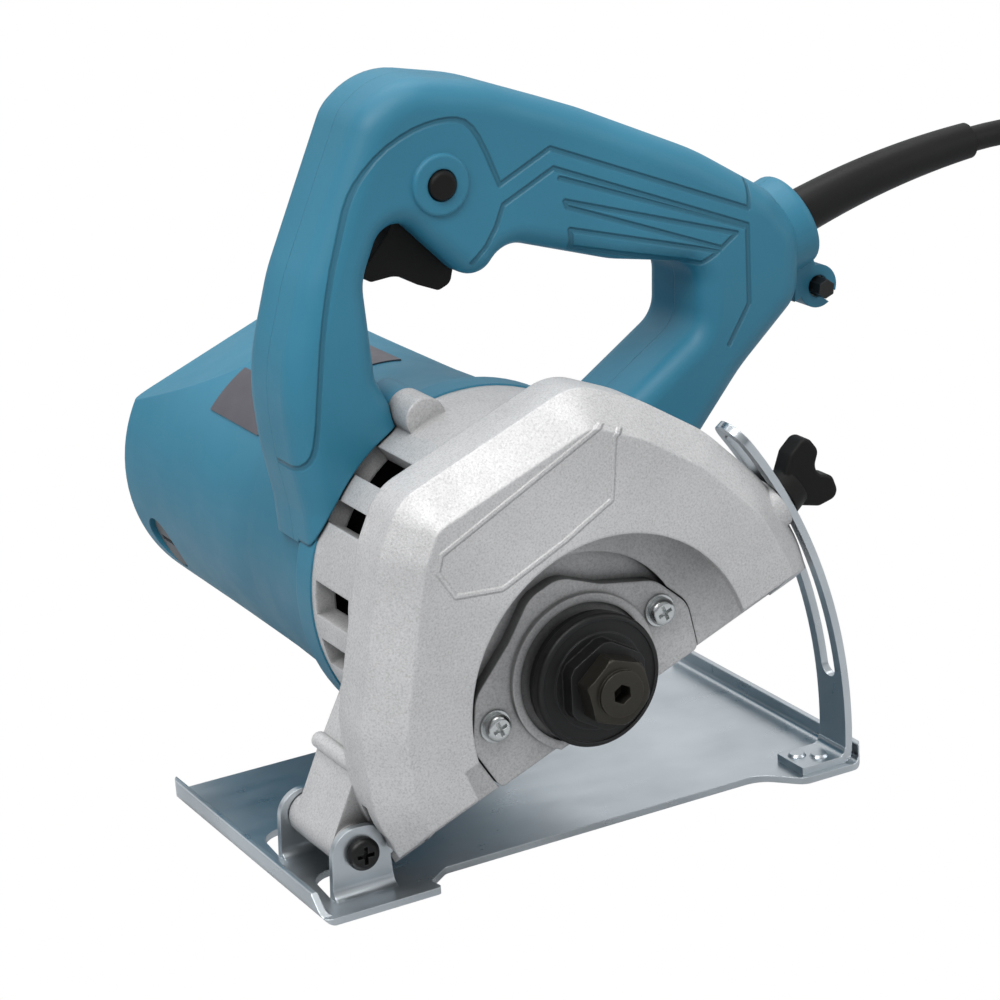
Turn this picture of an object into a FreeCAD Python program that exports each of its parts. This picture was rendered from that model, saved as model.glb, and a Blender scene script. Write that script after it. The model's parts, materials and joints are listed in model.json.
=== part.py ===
import FreeCAD, Part
import math
import os

# Hand-held cutting saw for stone and tile: a D-handled motor unit on a sheet-steel base.
# Frame: millimetres, +X to the rear (cord end), -Y to the wheel side, +Z up.
# The origin is the centre of the base plate's underside.
# Parts of the saw unit are drawn level about the hinge pin, then tilted by PITCH.

# ---- driving dimensions -------------------------------------------------------------
PLATE_LENGTH = 172.0
PLATE_WIDTH = 103.0
PLATE_T = 2.0
LIP_HEIGHT = 7.0
RECESS_Y = -41.4          # wheel-side edge of the plate between its two tabs
HINGE_X = -69.3
HINGE_Z = 13.3
PITCH = 21.3              # rest tilt of the saw unit, rear end up (degrees)
EAR_NEAR_Y = -41.5
EAR_FAR_Y = -9.0
EAR_T = 2.0
PIN_R = 2.5
GUIDE_R = 152.0           # depth guide's outer face, about the hinge pin
GUIDE_T = 2.2
GUIDE_Y0 = -49.5
GUIDE_Y1 = -36.5
SLOT_W = 6.4

# Saw unit, level, measured from the hinge pin (x rearward, z up); y is the world's y.
SPINDLE_X = 78.65
SPINDLE_Z = 4.9
GEAR_MODULE = 1.0
GEAR_TEETH = 31
PINION_TEETH = 12
CENTRES = GEAR_MODULE * (GEAR_TEETH + PINION_TEETH) / 2.0
MOTOR_X = SPINDLE_X - 1.1
MOTOR_Z = SPINDLE_Z + math.sqrt(CENTRES ** 2 - 1.1 ** 2)
BODY_X = 77.0             # centre of the round joint between casting and motor housing
BODY_Z = 30.0
JOINT_R = 51.0
WALL_Y = -56.5            # outer face of the wheel cover
COVER_T = 2.8
BACK_Y = -38.0            # inner face of the wheel chamber's back wall
FACE_Y = -34.5            # face that carries the bearing box
JOINT_Y = -1.5            # plane where casting and motor housing meet
MOTOR_END_Y = 147.0
CUTOUT_R = 43.5
WINDOW_X = 31.0           # the cover opening's square front corner
WINDOW_Z = 11.0
CHAMBER_R = 60.0
SEAT_R = 33.5
FLANGE_R = 19.0
BLADE_BORE_R = 10.0
FLOOR_Z = -11.0           # underside of the saw unit, level
HANDLE_Y = 10.5           # joint plane of the two handle halves
HANDLE_HALF = 16.5
BRUSH_Y = 126.0
BRUSH_CAP_R0 = 40.6       # brush caps, between these distances from the motor axis
BRUSH_CAP_R1 = 45.4
CORE_R = 40.0
CORE_Y0 = 34.0
CORE_Y1 = 74.0
CORD_D = 7.6
GUARD_LENGTH = 72.0       # rubber cord guard, from inside the handle's rear end
GUARD_TILT = -1.5         # its slope in the level saw unit (degrees)
GUARD_DROOP = 0.0019
GUARD_X = 205.0
GUARD_Z = 59.8
GUARD_R0 = 7.1
GUARD_R1 = 5.4

V = FreeCAD.Vector
PARTS = "parts"


# ---- helpers ------------------------------------------------------------------------
def rounded_wire(corners, place):
    """Closed wire through (u, v, radius) corners; place turns (u, v) into a point."""
    count = len(corners)
    starts = []
    ends = []
    middles = []
    for i in range(count):
        u, v, radius = corners[i]
        before = corners[i - 1]
        after = corners[(i + 1) % count]
        here = V(u, v, 0)
        to_before = (V(before[0], before[1], 0) - here).normalize()
        to_after = (V(after[0], after[1], 0) - here).normalize()
        if radius <= 0:
            starts.append(here)
            ends.append(here)
            middles.append(None)
            continue
        half = to_before.getAngle(to_after) / 2.0
        setback = radius / math.tan(half)
        bisector = (to_before + to_after).normalize()
        centre = here + bisector * (radius / math.sin(half))
        starts.append(here + to_before * setback)
        ends.append(here + to_after * setback)
        middles.append(centre - bisector * radius)
    edges = []
    for i in range(count):
        nxt = (i + 1) % count
        if middles[i] is not None:
            arc = Part.Arc(place(starts[i]), place(middles[i]), place(ends[i]))
            edges.append(arc.toShape())
        if (starts[nxt] - ends[i]).Length > 1e-6:
            edges.append(Part.makeLine(place(ends[i]), place(starts[nxt])))
    return Part.Wire(edges)


def prism(corners, y0, y1):
    """Solid with an x-z outline, from y0 to y1."""
    wire = rounded_wire(corners, lambda p: V(p.x, y0, p.y))
    return Part.Face(wire).extrude(V(0, y1 - y0, 0))


def plan_prism(corners, z0, z1):
    """Solid with an x-y outline, from z0 to z1."""
    wire = rounded_wire(corners, lambda p: V(p.x, p.y, z0))
    return Part.Face(wire).extrude(V(0, 0, z1 - z0))


def side_prism(corners, x0, x1):
    """Solid with a y-z outline, from x0 to x1."""
    wire = rounded_wire(corners, lambda p: V(x0, p.x, p.y))
    return Part.Face(wire).extrude(V(x1 - x0, 0, 0))


def box(x0, x1, y0, y1, z0, z1):
    return Part.makeBox(x1 - x0, y1 - y0, z1 - z0, V(x0, y0, z0))


def drum(x, z, radius, y0, y1):
    """Cylinder along y."""
    return Part.makeCylinder(radius, y1 - y0, V(x, y0, z), V(0, 1, 0))


def tube(x, z, outer, inner, y0, y1):
    """Ring along y."""
    return drum(x, z, outer, y0, y1).cut(drum(x, z, inner, y0 - 1, y1 + 1))


def rod(start, direction, radius, length):
    return Part.makeCylinder(radius, length, start, direction)


def hexagon(x, z, across_flats, y0, y1, turn=0.0):
    corner = across_flats / math.sqrt(3.0)
    outline = []
    for i in range(6):
        angle = math.radians(60 * i + turn)
        outline.append((x + corner * math.cos(angle), z + corner * math.sin(angle), 0))
    return prism(outline, y0, y1)


def fuse_all(shapes):
    total = shapes[0]
    for shape in shapes[1:]:
        total = total.fuse(shape)
    return total.removeSplitter()


def polar(centre_x, centre_z, radius, degrees):
    angle = math.radians(degrees)
    return centre_x + radius * math.cos(angle), centre_z + radius * math.sin(angle)


def tilt(shape):
    """Put a level saw-unit shape into its rest place on the hinge pin."""
    placed = shape.copy()
    placed.rotate(V(0, 0, 0), V(0, -1, 0), PITCH)
    placed.translate(V(HINGE_X, 0, HINGE_Z))
    return placed


def tilt_point(x, y, z):
    angle = math.radians(PITCH)
    return V(HINGE_X + x * math.cos(angle) - z * math.sin(angle), y,
             HINGE_Z + x * math.sin(angle) + z * math.cos(angle))


def pan_head(x, z, y_seat, radius, height, toward):
    """Domed cross-recess screw head on a face at y_seat; toward is -1 or +1 along y."""
    y0 = min(y_seat, y_seat + toward * height)
    head = drum(x, z, radius, y0, y0 + height)
    rim_y = y_seat + toward * height
    rim = [e for e in head.Edges if abs(e.BoundBox.YMin - rim_y) < 1e-6
           and abs(e.BoundBox.YMax - rim_y) < 1e-6]
    head = head.makeFillet(height * 0.6, rim)
    deep = rim_y - toward * height * 0.62
    y_low = min(deep, rim_y + toward)
    y_high = max(deep, rim_y + toward)
    arm = radius * 0.55
    slot = radius * 0.13
    cross = box(x - arm, x + arm, y_low, y_high, z - slot, z + slot)
    cross = cross.fuse(box(x - slot, x + slot, y_low, y_high, z - arm, z + arm))
    return head.cut(cross)


def save(name, shape):
    solids = shape.Solids
    if not solids or not shape.isValid():
        raise ValueError("bad shape " + name)
    body = solids[0] if len(solids) == 1 else Part.makeCompound(solids)
    body.exportStep(PARTS + "/" + name + ".step")
    print(name, len(solids), "solid(s)", round(body.Volume, 1), "mm3")


# ---- base ---------------------------------------------------------------------------
def ear(y_face):
    """Hinge ear bent up from the plate, with the soft bend at its foot."""
    top = HINGE_Z + 7.4
    upright = prism([(HINGE_X - 9.4, 1.0, 0), (HINGE_X - 8.2, top, 7.6),
                     (HINGE_X + 8.0, top, 7.6), (HINGE_X + 9.2, HINGE_Z - 2.2, 0.4),
                     (HINGE_X + 8.4, HINGE_Z - 2.6, 0), (HINGE_X + 9.0, 1.0, 0)],
                    y_face, y_face + EAR_T)
    bend = box(HINGE_X - 9.2, HINGE_X + 8.8, y_face - 3, y_face + 0.5, 1.5, PLATE_T + 3)
    hollow = rod(V(HINGE_X - 12, y_face - 3, PLATE_T + 3), V(1, 0, 0), 3, 24)
    return upright.fuse(bend.cut(hollow))


def ear_window(y_face):
    """Opening left in the plate where an ear was bent out of it."""
    y0 = y_face + EAR_T
    return plan_prism([(HINGE_X - 9.4, y0, 0), (HINGE_X + 9.0, y0, 0),
                       (HINGE_X + 7.8, y0 + 16, 7.4), (HINGE_X - 8.0, y0 + 16, 7.4)],
                      -1, PLATE_T + 1)


def base_plate():
    half_l = PLATE_LENGTH / 2
    half_w = PLATE_WIDTH / 2
    section = prism([(-half_l, LIP_HEIGHT, 0.5), (-half_l, 0, 3.6), (half_l, 0, 3.6),
                     (half_l, LIP_HEIGHT, 0.5), (half_l - PLATE_T, LIP_HEIGHT, 0.5),
                     (half_l - PLATE_T, PLATE_T, 1.8), (PLATE_T - half_l, PLATE_T, 1.8),
                     (PLATE_T - half_l, LIP_HEIGHT, 0.5)], -half_w, half_w)
    plan = plan_prism([(-half_l, -half_w, 3.0), (-51.0, -half_w, 1.3),
                       (-51.8, -46.6, 1.2), (-45.0, RECESS_Y, 3.0),
                       (56.0, RECESS_Y, 10.0), (65.0, -half_w, 5.0),
                       (half_l, -half_w, 5.0), (half_l, half_w, 6.0),
                       (-half_l, half_w, 6.0)], -1, LIP_HEIGHT + 1)
    plate = section.common(plan)
    lip_slope = side_prism([(-half_w - 1, PLATE_T, 0), (-half_w + 2, PLATE_T, 0),
                            (-half_w + 9, LIP_HEIGHT + 1, 0),
                            (-half_w - 1, LIP_HEIGHT + 1, 0)],
                           -half_l - 1, PLATE_T - half_l + 2)
    plate = plate.cut(lip_slope)
    for y_face in (EAR_NEAR_Y, EAR_FAR_Y):
        plate = plate.cut(ear_window(y_face))
    for y_face in (EAR_NEAR_Y, EAR_FAR_Y):
        plate = plate.fuse(ear(y_face))
    pin_hole = drum(HINGE_X, HINGE_Z, PIN_R + 0.1, EAR_NEAR_Y - 1, EAR_FAR_Y + EAR_T + 1)
    plate = plate.cut(pin_hole)
    for x, y in GUIDE_RIVETS:
        plate = plate.cut(rod(V(x, y, -1), V(0, 0, 1), RIVET_R, PLATE_T + 2))
    return plate.removeSplitter()


GUIDE_RIVETS = [(69.4, -40.8), (74.2, -44.8)]
RIVET_R = 1.6
SLOT_LOW = 6.4            # guide slot's end centres, as angles about the hinge pin
SLOT_HIGH = 36.4
STRIP_TOP = 36.5         # centre of the strip's rounded top


def guide_sector(r_in, r_out, y0, y1, low, high):
    """Piece of a ring about the hinge pin between two angles (degrees)."""
    ring = tube(HINGE_X, HINGE_Z, r_out, r_in, y0, y1)
    far = 2 * GUIDE_R
    low_x, low_z = polar(HINGE_X, HINGE_Z, far, low)
    high_x, high_z = polar(HINGE_X, HINGE_Z, far, high)
    wedge = prism([(HINGE_X, HINGE_Z, 0), (low_x, low_z, 0), (high_x, high_z, 0)],
                  y0 - 1, y1 + 1)
    return ring.common(wedge)


def radial_rod(angle, y, radius, r0, r1):
    """Cylinder that points away from the hinge pin at an angle."""
    x0, z0 = polar(HINGE_X, HINGE_Z, r0, angle)
    x1, z1 = polar(HINGE_X, HINGE_Z, r1, angle)
    return rod(V(x0, y, z0), V(x1 - x0, 0, z1 - z0), radius, r1 - r0)


def depth_guide():
    inner = GUIDE_R - GUIDE_T
    middle = (GUIDE_Y0 + GUIDE_Y1) / 2
    half = (GUIDE_Y1 - GUIDE_Y0) / 2
    strip = guide_sector(inner, GUIDE_R, GUIDE_Y0, GUIDE_Y1, -8, STRIP_TOP)
    cap = radial_rod(STRIP_TOP, middle, half, inner - 3, GUIDE_R + 3)
    cap = cap.common(tube(HINGE_X, HINGE_Z, GUIDE_R, inner, GUIDE_Y0, GUIDE_Y1))
    strip = strip.fuse(cap)
    slot = guide_sector(inner - 2, GUIDE_R + 2, middle - SLOT_W / 2,
                        middle + SLOT_W / 2, SLOT_LOW, SLOT_HIGH)
    strip = strip.cut(slot)
    for angle in (SLOT_LOW, SLOT_HIGH):
        strip = strip.cut(radial_rod(angle, middle, SLOT_W / 2, inner - 3, GUIDE_R + 3))
    strip_x = HINGE_X + math.sqrt(GUIDE_R ** 2 - (HINGE_Z - PLATE_T) ** 2)
    foot = box(65.6, strip_x, GUIDE_Y0, GUIDE_Y1, PLATE_T, PLATE_T + GUIDE_T)
    foot = foot.fuse(box(strip_x - 4.5, strip_x - 1, GUIDE_Y0, GUIDE_Y1,
                         PLATE_T, PLATE_T + 4.5))
    foot = foot.cut(rod(V(strip_x - 4.6, GUIDE_Y0 - 1, PLATE_T + GUIDE_T + 2.4),
                        V(0, 1, 0), 2.4, 20))
    guide = strip.fuse(foot)
    guide = guide.common(box(60, 90, -60, 0, PLATE_T, 150).fuse(
        box(0, 60, -60, 0, 60, 150)))
    heel = box(strip_x - 3, strip_x + 3, GUIDE_Y0 - 1, GUIDE_Y1 + 1, 0, PLATE_T + 3)
    heel = heel.cut(rod(V(strip_x - 3, GUIDE_Y0 - 1, PLATE_T + 3), V(0, 1, 0), 3, 20))
    guide = guide.cut(heel)
    for x, y in GUIDE_RIVETS:
        guide = guide.cut(rod(V(x, y, 0), V(0, 0, 1), RIVET_R, 12))
    return guide.removeSplitter()


def guide_rivets():
    """Two set rivets that hold the guide's foot down, flush under the plate."""
    rivets = []
    for x, y in GUIDE_RIVETS:
        shank = rod(V(x, y, 0.2), V(0, 0, 1), RIVET_R, PLATE_T + GUIDE_T)
        head = Part.makeCone(2.7, 2.1, 0.9, V(x, y, PLATE_T + GUIDE_T), V(0, 0, 1))
        rivets.append(shank.fuse(head).removeSplitter())
    return Part.makeCompound(rivets)


def hinge_screw():
    shank = drum(HINGE_X, HINGE_Z, PIN_R, EAR_NEAR_Y - 0.5, EAR_FAR_Y + 7.5)
    head = pan_head(HINGE_X, HINGE_Z, EAR_NEAR_Y, 4.6, 2.8, -1)
    return shank.fuse(head).removeSplitter()


def hinge_nut():
    y0 = EAR_FAR_Y + EAR_T
    nut = hexagon(HINGE_X, HINGE_Z, 8.0, y0, y0 + 4.2)
    return nut.cut(drum(HINGE_X, HINGE_Z, PIN_R, y0 - 1, y0 + 6))


# ---- casting ------------------------------------------------------------------------
COVER_OUTLINE = [(8.5, -25, 0), (6, 10, 30), (13, 34, 30), (39, 74, 20), (50, 84, 14),
                 (107, 84, 16), (122, 69.5, 40), (136, 50, 40), (147, 25, 40),
                 (149, 5, 40), (146, -25, 0)]
LENS_OUTLINE = [(43.5, -11, 2), (41, 4, 9), (48, 17, 9), (63, 25, 12), (74, 33, 9),
                (84, 33, 9), (94, 24, 12), (109, 15, 9), (115, 3, 9), (112.5, -11, 2)]
LENS_SCREWS = [(49.5, 6.5), (106.5, 6.5)]
BOLT_ANGLE = 6.5          # wing bolt's axis above the level unit's hinge plane
BOLT_Y = -43.0
BOLT_R = 2.8
HOUSING_SCREW_R = 52.2    # housing screws' circle about the round joint's centre
HOUSING_SCREW_ANGLES = [89.0, 207.0, -27.0]
VENTS = [(104.0, 115.0, -34.0), (124.0, 131.5, -32.0), (150.0, 161.0, -24.0),
         (169.0, 178.0, -22.0)]


def sector(centre_x, centre_z, r_in, r_out, y0, y1, low, high):
    """Piece of a ring about a centre between two angles less than 180 degrees apart."""
    ring = tube(centre_x, centre_z, r_out, r_in, y0, y1)
    far = 3 * r_out
    middle = (low + high) / 2
    outline = [(centre_x, centre_z, 0)]
    for angle in (low, middle, high):
        x, z = polar(centre_x, centre_z, far, angle)
        outline.append((x, z, 0))
    return ring.common(prism(outline, y0 - 1, y1 + 1))


def flat_floor(shape, z):
    """Take away everything below a level."""
    return shape.cut(box(-60, 300, -80, 200, z - 120, z))


def underside_cut():
    """Slope under the wheel cover, then the flat underside."""
    return side_prism([(-66, 8.7, 0), (-38.8, FLOOR_Z + 0.4, 0), (160, FLOOR_Z + 0.4, 0),
                       (160, -80, 0), (-66, -80, 0)], -60, 260)


def gear_housing():
    cover = prism(COVER_OUTLINE, WALL_Y, FACE_Y)
    front = [e for e in cover.Edges if e.BoundBox.YMax < WALL_Y + 0.01
             and e.BoundBox.ZMax > -24.9]
    cover = cover.makeChamfer(9.0, front)
    body = drum(BODY_X, BODY_Z, JOINT_R, FACE_Y - 1, JOINT_Y)
    gear_bulge = drum(SPINDLE_X, SPINDLE_Z, 18.5, FACE_Y, -17.5)
    arm = prism([(-4.4, 4.4, 0), (9, 17, 6), (22, 28, 6), (42, 50, 0), (50, 20, 0),
                 (40, FLOOR_Z, 0), (13, -9.5, 4), (2, -5.9, 0)], -36.0, -13.0)
    rib = drum(11.0, 19.3, 2.3, -36.0, -13.0)
    barrel = drum(0, 0, 6.2, EAR_NEAR_Y + EAR_T + 0.3, EAR_FAR_Y - 0.3)
    casting = fuse_all([cover, body, arm, rib, barrel])
    casting = casting.cut(underside_cut())
    casting = casting.fuse(gear_bulge)
    casting = casting.fuse(bolt_boss())
    for angle in HOUSING_SCREW_ANGLES:
        x, z = polar(BODY_X, BODY_Z, HOUSING_SCREW_R, angle)
        casting = casting.fuse(drum(x, z, 5.8, -13, JOINT_Y))
    casting = casting.cut(wheel_space())
    casting = casting.cut(hinge_space())
    casting = casting.cut(gear_space())
    for low, high, y0 in VENTS:
        casting = casting.cut(sector(BODY_X, BODY_Z, 41, 62, y0, JOINT_Y - 2.5, low, high))
    for angle in HOUSING_SCREW_ANGLES:
        x, z = polar(BODY_X, BODY_Z, HOUSING_SCREW_R, angle)
        casting = casting.cut(drum(x, z, 2.1, -12, JOINT_Y + 1))
    for x, z in LENS_SCREWS:
        casting = casting.cut(drum(x, z, 2.05, FACE_Y - 1, -25.5))
    return casting.removeSplitter()


def bolt_boss():
    """Boss behind the depth guide that the wing bolt screws into."""
    x0, z0 = polar(0, 0, 128, BOLT_ANGLE)
    x1, z1 = polar(0, 0, GUIDE_R - GUIDE_T - 0.35, BOLT_ANGLE)
    along = V(x1 - x0, 0, z1 - z0)
    boss = rod(V(x0, BOLT_Y, z0), along, 8.0, along.Length)
    return boss.cut(box(100, 170, -80, 0, -60, -9.5))


def wheel_space():
    """Wheel chamber, its opening in the front wall, and the bearing box's seat."""
    chamber = drum(SPINDLE_X, SPINDLE_Z, CHAMBER_R, WALL_Y + COVER_T, BACK_Y)
    chamber = chamber.fuse(box(SPINDLE_X - CHAMBER_R, SPINDLE_X + CHAMBER_R,
                               WALL_Y + COVER_T, BACK_Y, -70, SPINDLE_Z))
    y0 = WALL_Y - 1
    y1 = WALL_Y + COVER_T + 1
    window = drum(SPINDLE_X, SPINDLE_Z, CUTOUT_R, y0, y1)
    window = window.fuse(box(WINDOW_X, SPINDLE_X + CUTOUT_R, y0, y1, -70, SPINDLE_Z))
    window = window.fuse(box(WINDOW_X, 60, y0, y1, -70, WINDOW_Z))
    seat = drum(SPINDLE_X, SPINDLE_Z, SEAT_R, BACK_Y - 1, FACE_Y)
    seat = seat.fuse(box(SPINDLE_X - SEAT_R, SPINDLE_X + SEAT_R, BACK_Y - 1, FACE_Y,
                         -70, SPINDLE_Z))
    lens_wire = rounded_wire(LENS_OUTLINE, lambda p: V(p.x, BACK_Y - 1, p.y))
    lens_face = Part.Face(lens_wire).makeOffset2D(0.5)
    lens_seat = lens_face.extrude(V(0, FACE_Y - BACK_Y + 1, 0))
    bolt_hole = tilted_bolt_hole()
    return fuse_all([chamber, window, seat, lens_seat]).fuse(bolt_hole)


def tilted_bolt_hole():
    x0, z0 = polar(0, 0, 139.5, BOLT_ANGLE)
    x1, z1 = polar(0, 0, 156, BOLT_ANGLE)
    along = V(x1 - x0, 0, z1 - z0)
    return rod(V(x0, BOLT_Y, z0), along, BOLT_R + 0.1, along.Length)


def hinge_space():
    """Room for the near ear and the pin's head, and the bore for the pin."""
    ear_room = drum(0, 0, 12.8, EAR_NEAR_Y - 1.0, EAR_NEAR_Y + EAR_T + 0.3)
    ear_room = ear_room.fuse(box(-12, 17.5, EAR_NEAR_Y - 4.5, EAR_NEAR_Y + EAR_T + 0.3,
                                 -30, -2.5))
    head_room = drum(0, 0, 7.2, EAR_NEAR_Y - 6, EAR_NEAR_Y)
    bore = drum(0, 0, PIN_R + 0.06, EAR_NEAR_Y, EAR_FAR_Y)
    return fuse_all([ear_room, head_room, bore])


GEAR_TIP_R = GEAR_MODULE * (GEAR_TEETH + 2) / 2.0


def gear_space():
    """Gear chamber, bearing seats, fan chamber and the air duct behind the vents."""
    mouth = drum(SPINDLE_X, SPINDLE_Z, 17.0, FACE_Y - 1, -30)
    gears = drum(SPINDLE_X, SPINDLE_Z, GEAR_TIP_R + 0.6, -31, -19)
    pinion = drum(MOTOR_X, MOTOR_Z, 11.0, -31, -12)
    pinion = pinion.common(box(0, 200, -40, 0, MOTOR_Z - 12, 80))
    rear_seat = drum(SPINDLE_X, SPINDLE_Z, 8.0, -20, -14)
    fan = drum(BODY_X, BODY_Z, 45.0, -11.3, JOINT_Y + 1)
    fan = fan.fuse(tube(BODY_X, BODY_Z, 45.0, 25.0, -16.0, -11.0).common(
        box(0, 200, -40, 20, 24, 100)))
    fan = flat_floor(fan, -8.0)
    shaft_hole = drum(MOTOR_X, MOTOR_Z, 9.0, -13, -11)
    duct = tube(BODY_X, BODY_Z, 45.0, 36.0, -31.0, -15.0)
    duct = duct.common(box(0, 200, -40, 0, 24, 100))
    return fuse_all([mouth, gears, pinion, rear_seat, fan, shaft_hole, duct])


def bearing_box():
    plate = flat_floor(prism(LENS_OUTLINE, BACK_Y - 0.5, FACE_Y), -11.2)
    ring = drum(SPINDLE_X, SPINDLE_Z, 22.4, -40.2, BACK_Y)
    ring = flat_floor(ring, -11.2)
    spigot = drum(SPINDLE_X, SPINDLE_Z, 16.95, FACE_Y - 1, -29.5)
    piece = fuse_all([plate, ring, spigot])
    piece = piece.cut(drum(SPINDLE_X, SPINDLE_Z, 20.0, -41, BACK_Y - 0.5).common(
        box(0, 200, -60, 0, -8.8, 100)))
    piece = piece.cut(drum(SPINDLE_X, SPINDLE_Z, 9.0, -41, -30))
    piece = piece.cut(drum(SPINDLE_X, SPINDLE_Z, 14.0, -37.4, -29))
    for x, z in LENS_SCREWS:
        piece = piece.cut(drum(x, z, 2.2, -42, -30))
    return piece.removeSplitter()


def bearing_box_screws():
    screws = []
    for x, z in LENS_SCREWS:
        head = pan_head(x, z, BACK_Y - 1.3, 3.9, 2.6, -1)
        screws.append(head.fuse(drum(x, z, 2.0, BACK_Y - 1.6, -26)).removeSplitter())
    return Part.makeCompound(screws)


def bearing_box_washers():
    return Part.makeCompound([tube(x, z, 4.6, 2.1, BACK_Y - 1.3, BACK_Y - 0.5)
                              for x, z in LENS_SCREWS])


# ---- spindle and armature -----------------------------------------------------------
def toothed_wheel(x, z, teeth, y0, y1, first_angle):
    """Spur wheel with tapered teeth."""
    root = GEAR_MODULE * (teeth - 2.5) / 2.0
    tip = GEAR_MODULE * (teeth + 2) / 2.0
    pitch_r = GEAR_MODULE * teeth / 2.0
    step = 360.0 / teeth
    foot = math.degrees(0.98 * GEAR_MODULE / root)
    waist = math.degrees(0.66 * GEAR_MODULE / pitch_r)
    crown = math.degrees(0.30 * GEAR_MODULE / tip)
    outline = []
    for i in range(teeth):
        centre = first_angle + i * step
        for radius, turn in ((root, -foot), (pitch_r, -waist), (tip, -crown),
                             (tip, crown), (pitch_r, waist), (root, foot)):
            px, pz = polar(x, z, radius, centre + turn)
            outline.append((px, pz, 0))
    return prism(outline, y0, y1)


GEAR_LINE = math.degrees(math.atan2(MOTOR_Z - SPINDLE_Z, MOTOR_X - SPINDLE_X))


def spindle():
    shaft = drum(SPINDLE_X, SPINDLE_Z, 6.0, -49.6, -20.0)
    collar = drum(SPINDLE_X, SPINDLE_Z, 8.2, -42.2, -37.5)
    tail = drum(SPINDLE_X, SPINDLE_Z, 4.0, -21.0, -14.2)
    shaft = fuse_all([shaft, collar, tail])
    return shaft.cut(drum(SPINDLE_X, SPINDLE_Z, 4.0, -50, -34))


def drive_gear():
    wheel = toothed_wheel(SPINDLE_X, SPINDLE_Z, GEAR_TEETH, -28.5, -20.5, GEAR_LINE)
    wheel = wheel.cut(drum(SPINDLE_X, SPINDLE_Z, 6.0, -40, 0))
    return wheel.cut(tube(SPINDLE_X, SPINDLE_Z, 12.5, 8.5, -29, -27.5))


def inner_flange():
    disc = drum(SPINDLE_X, SPINDLE_Z, 18.4, -44.9, -42.2)
    spigot = drum(SPINDLE_X, SPINDLE_Z, BLADE_BORE_R, -46.5, -44.8)
    return disc.fuse(spigot).cut(drum(SPINDLE_X, SPINDLE_Z, 6.05, -50, -40)).removeSplitter()


def outer_flange():
    disc = drum(SPINDLE_X, SPINDLE_Z, FLANGE_R, -48.4, -46.5)
    front = [e for e in disc.Edges if e.BoundBox.YMax < -48.39]
    disc = disc.makeFillet(1.2, front)
    disc = disc.cut(tube(SPINDLE_X, SPINDLE_Z, 17.4, 13.8, -49, -47.9))
    skirt = tube(SPINDLE_X, SPINDLE_Z, FLANGE_R, 13.5, -46.6, -44.95)
    hub = hexagon(SPINDLE_X, SPINDLE_Z, 23.0, -53.0, -48.0, 8.0)
    hub = hub.common(drum(SPINDLE_X, SPINDLE_Z, 12.6, -54, -47))
    flange = fuse_all([disc, skirt, hub])
    flange = flange.cut(drum(SPINDLE_X, SPINDLE_Z, 6.05, -49.7, -40))
    return flange.cut(drum(SPINDLE_X, SPINDLE_Z, 4.1, -60, -40)).removeSplitter()


def arbor_bolt():
    head = hexagon(SPINDLE_X, SPINDLE_Z, 17.6, -59.0, -53.0, 20.0)
    dome = drum(SPINDLE_X, SPINDLE_Z, 10.0, -59.0, -53.0)
    rim = [e for e in dome.Edges if e.BoundBox.YMax < -58.99]
    head = head.common(dome.makeFillet(1.4, rim))
    collar = drum(SPINDLE_X, SPINDLE_Z, 6.6, -60.2, -58.5)
    bolt = fuse_all([head, collar, drum(SPINDLE_X, SPINDLE_Z, 3.9, -53.5, -36.0)])
    return bolt.cut(hexagon(SPINDLE_X, SPINDLE_Z, 5.0, -61, -55.2, 10.0))


def ball_bearing(x, z, outer, inner, y0, y1):
    """Bearing with its two shields set in from both faces."""
    ring = tube(x, z, outer, inner, y0, y1)
    wall = (outer - inner) * 0.28
    groove = tube(x, z, outer - wall, inner + wall, y0 - 1, y0 + 0.5)
    other = tube(x, z, outer - wall, inner + wall, y1 - 0.5, y1 + 1)
    return ring.cut(groove).cut(other)


def armature_shaft():
    shaft = drum(MOTOR_X, MOTOR_Z, 4.0, -19.2, 140.0)
    pinion = toothed_wheel(MOTOR_X, MOTOR_Z, PINION_TEETH, -29.0, -20.0,
                           GEAR_LINE + 180.0 + 180.0 / PINION_TEETH)
    neck = drum(MOTOR_X, MOTOR_Z, 4.0, -20.5, -19.0)
    return fuse_all([shaft, neck, pinion])


def armature_core():
    core = tube(MOTOR_X, MOTOR_Z, 22.5, 4.0, CORE_Y0, CORE_Y1)
    slots = 12
    for i in range(slots):
        x, z = polar(MOTOR_X, MOTOR_Z, 21.8, i * 360.0 / slots)
        core = core.cut(drum(x, z, 1.2, CORE_Y0 - 1, CORE_Y1 + 1))
    return core


def armature_windings():
    front = tube(MOTOR_X, MOTOR_Z, 18.5, 4.0, CORE_Y0 - 10, CORE_Y0)
    back = tube(MOTOR_X, MOTOR_Z, 18.5, 4.0, CORE_Y1, CORE_Y1 + 11)
    pieces = []
    for coil, at_y in ((front, CORE_Y0 - 10), (back, CORE_Y1 + 11)):
        rim = [e for e in coil.Edges if abs(e.BoundBox.YMin - at_y) < 0.01
               and e.BoundBox.XLength > 30]
        pieces.append(coil.makeFillet(4.0, rim))
    return Part.makeCompound(pieces)


def commutator():
    bars = tube(MOTOR_X, MOTOR_Z, 12.0, 4.0, 113.0, 134.0)
    count = 24
    for i in range(count):
        bars = bars.cut(slot_between_bars(i * 360.0 / count))
    return bars


def slot_between_bars(angle):
    cut = box(MOTOR_X + 11.3, MOTOR_X + 13, 112, 132, MOTOR_Z - 0.25, MOTOR_Z + 0.25)
    cut.rotate(V(MOTOR_X, 0, MOTOR_Z), V(0, 1, 0), angle)
    return cut


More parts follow.
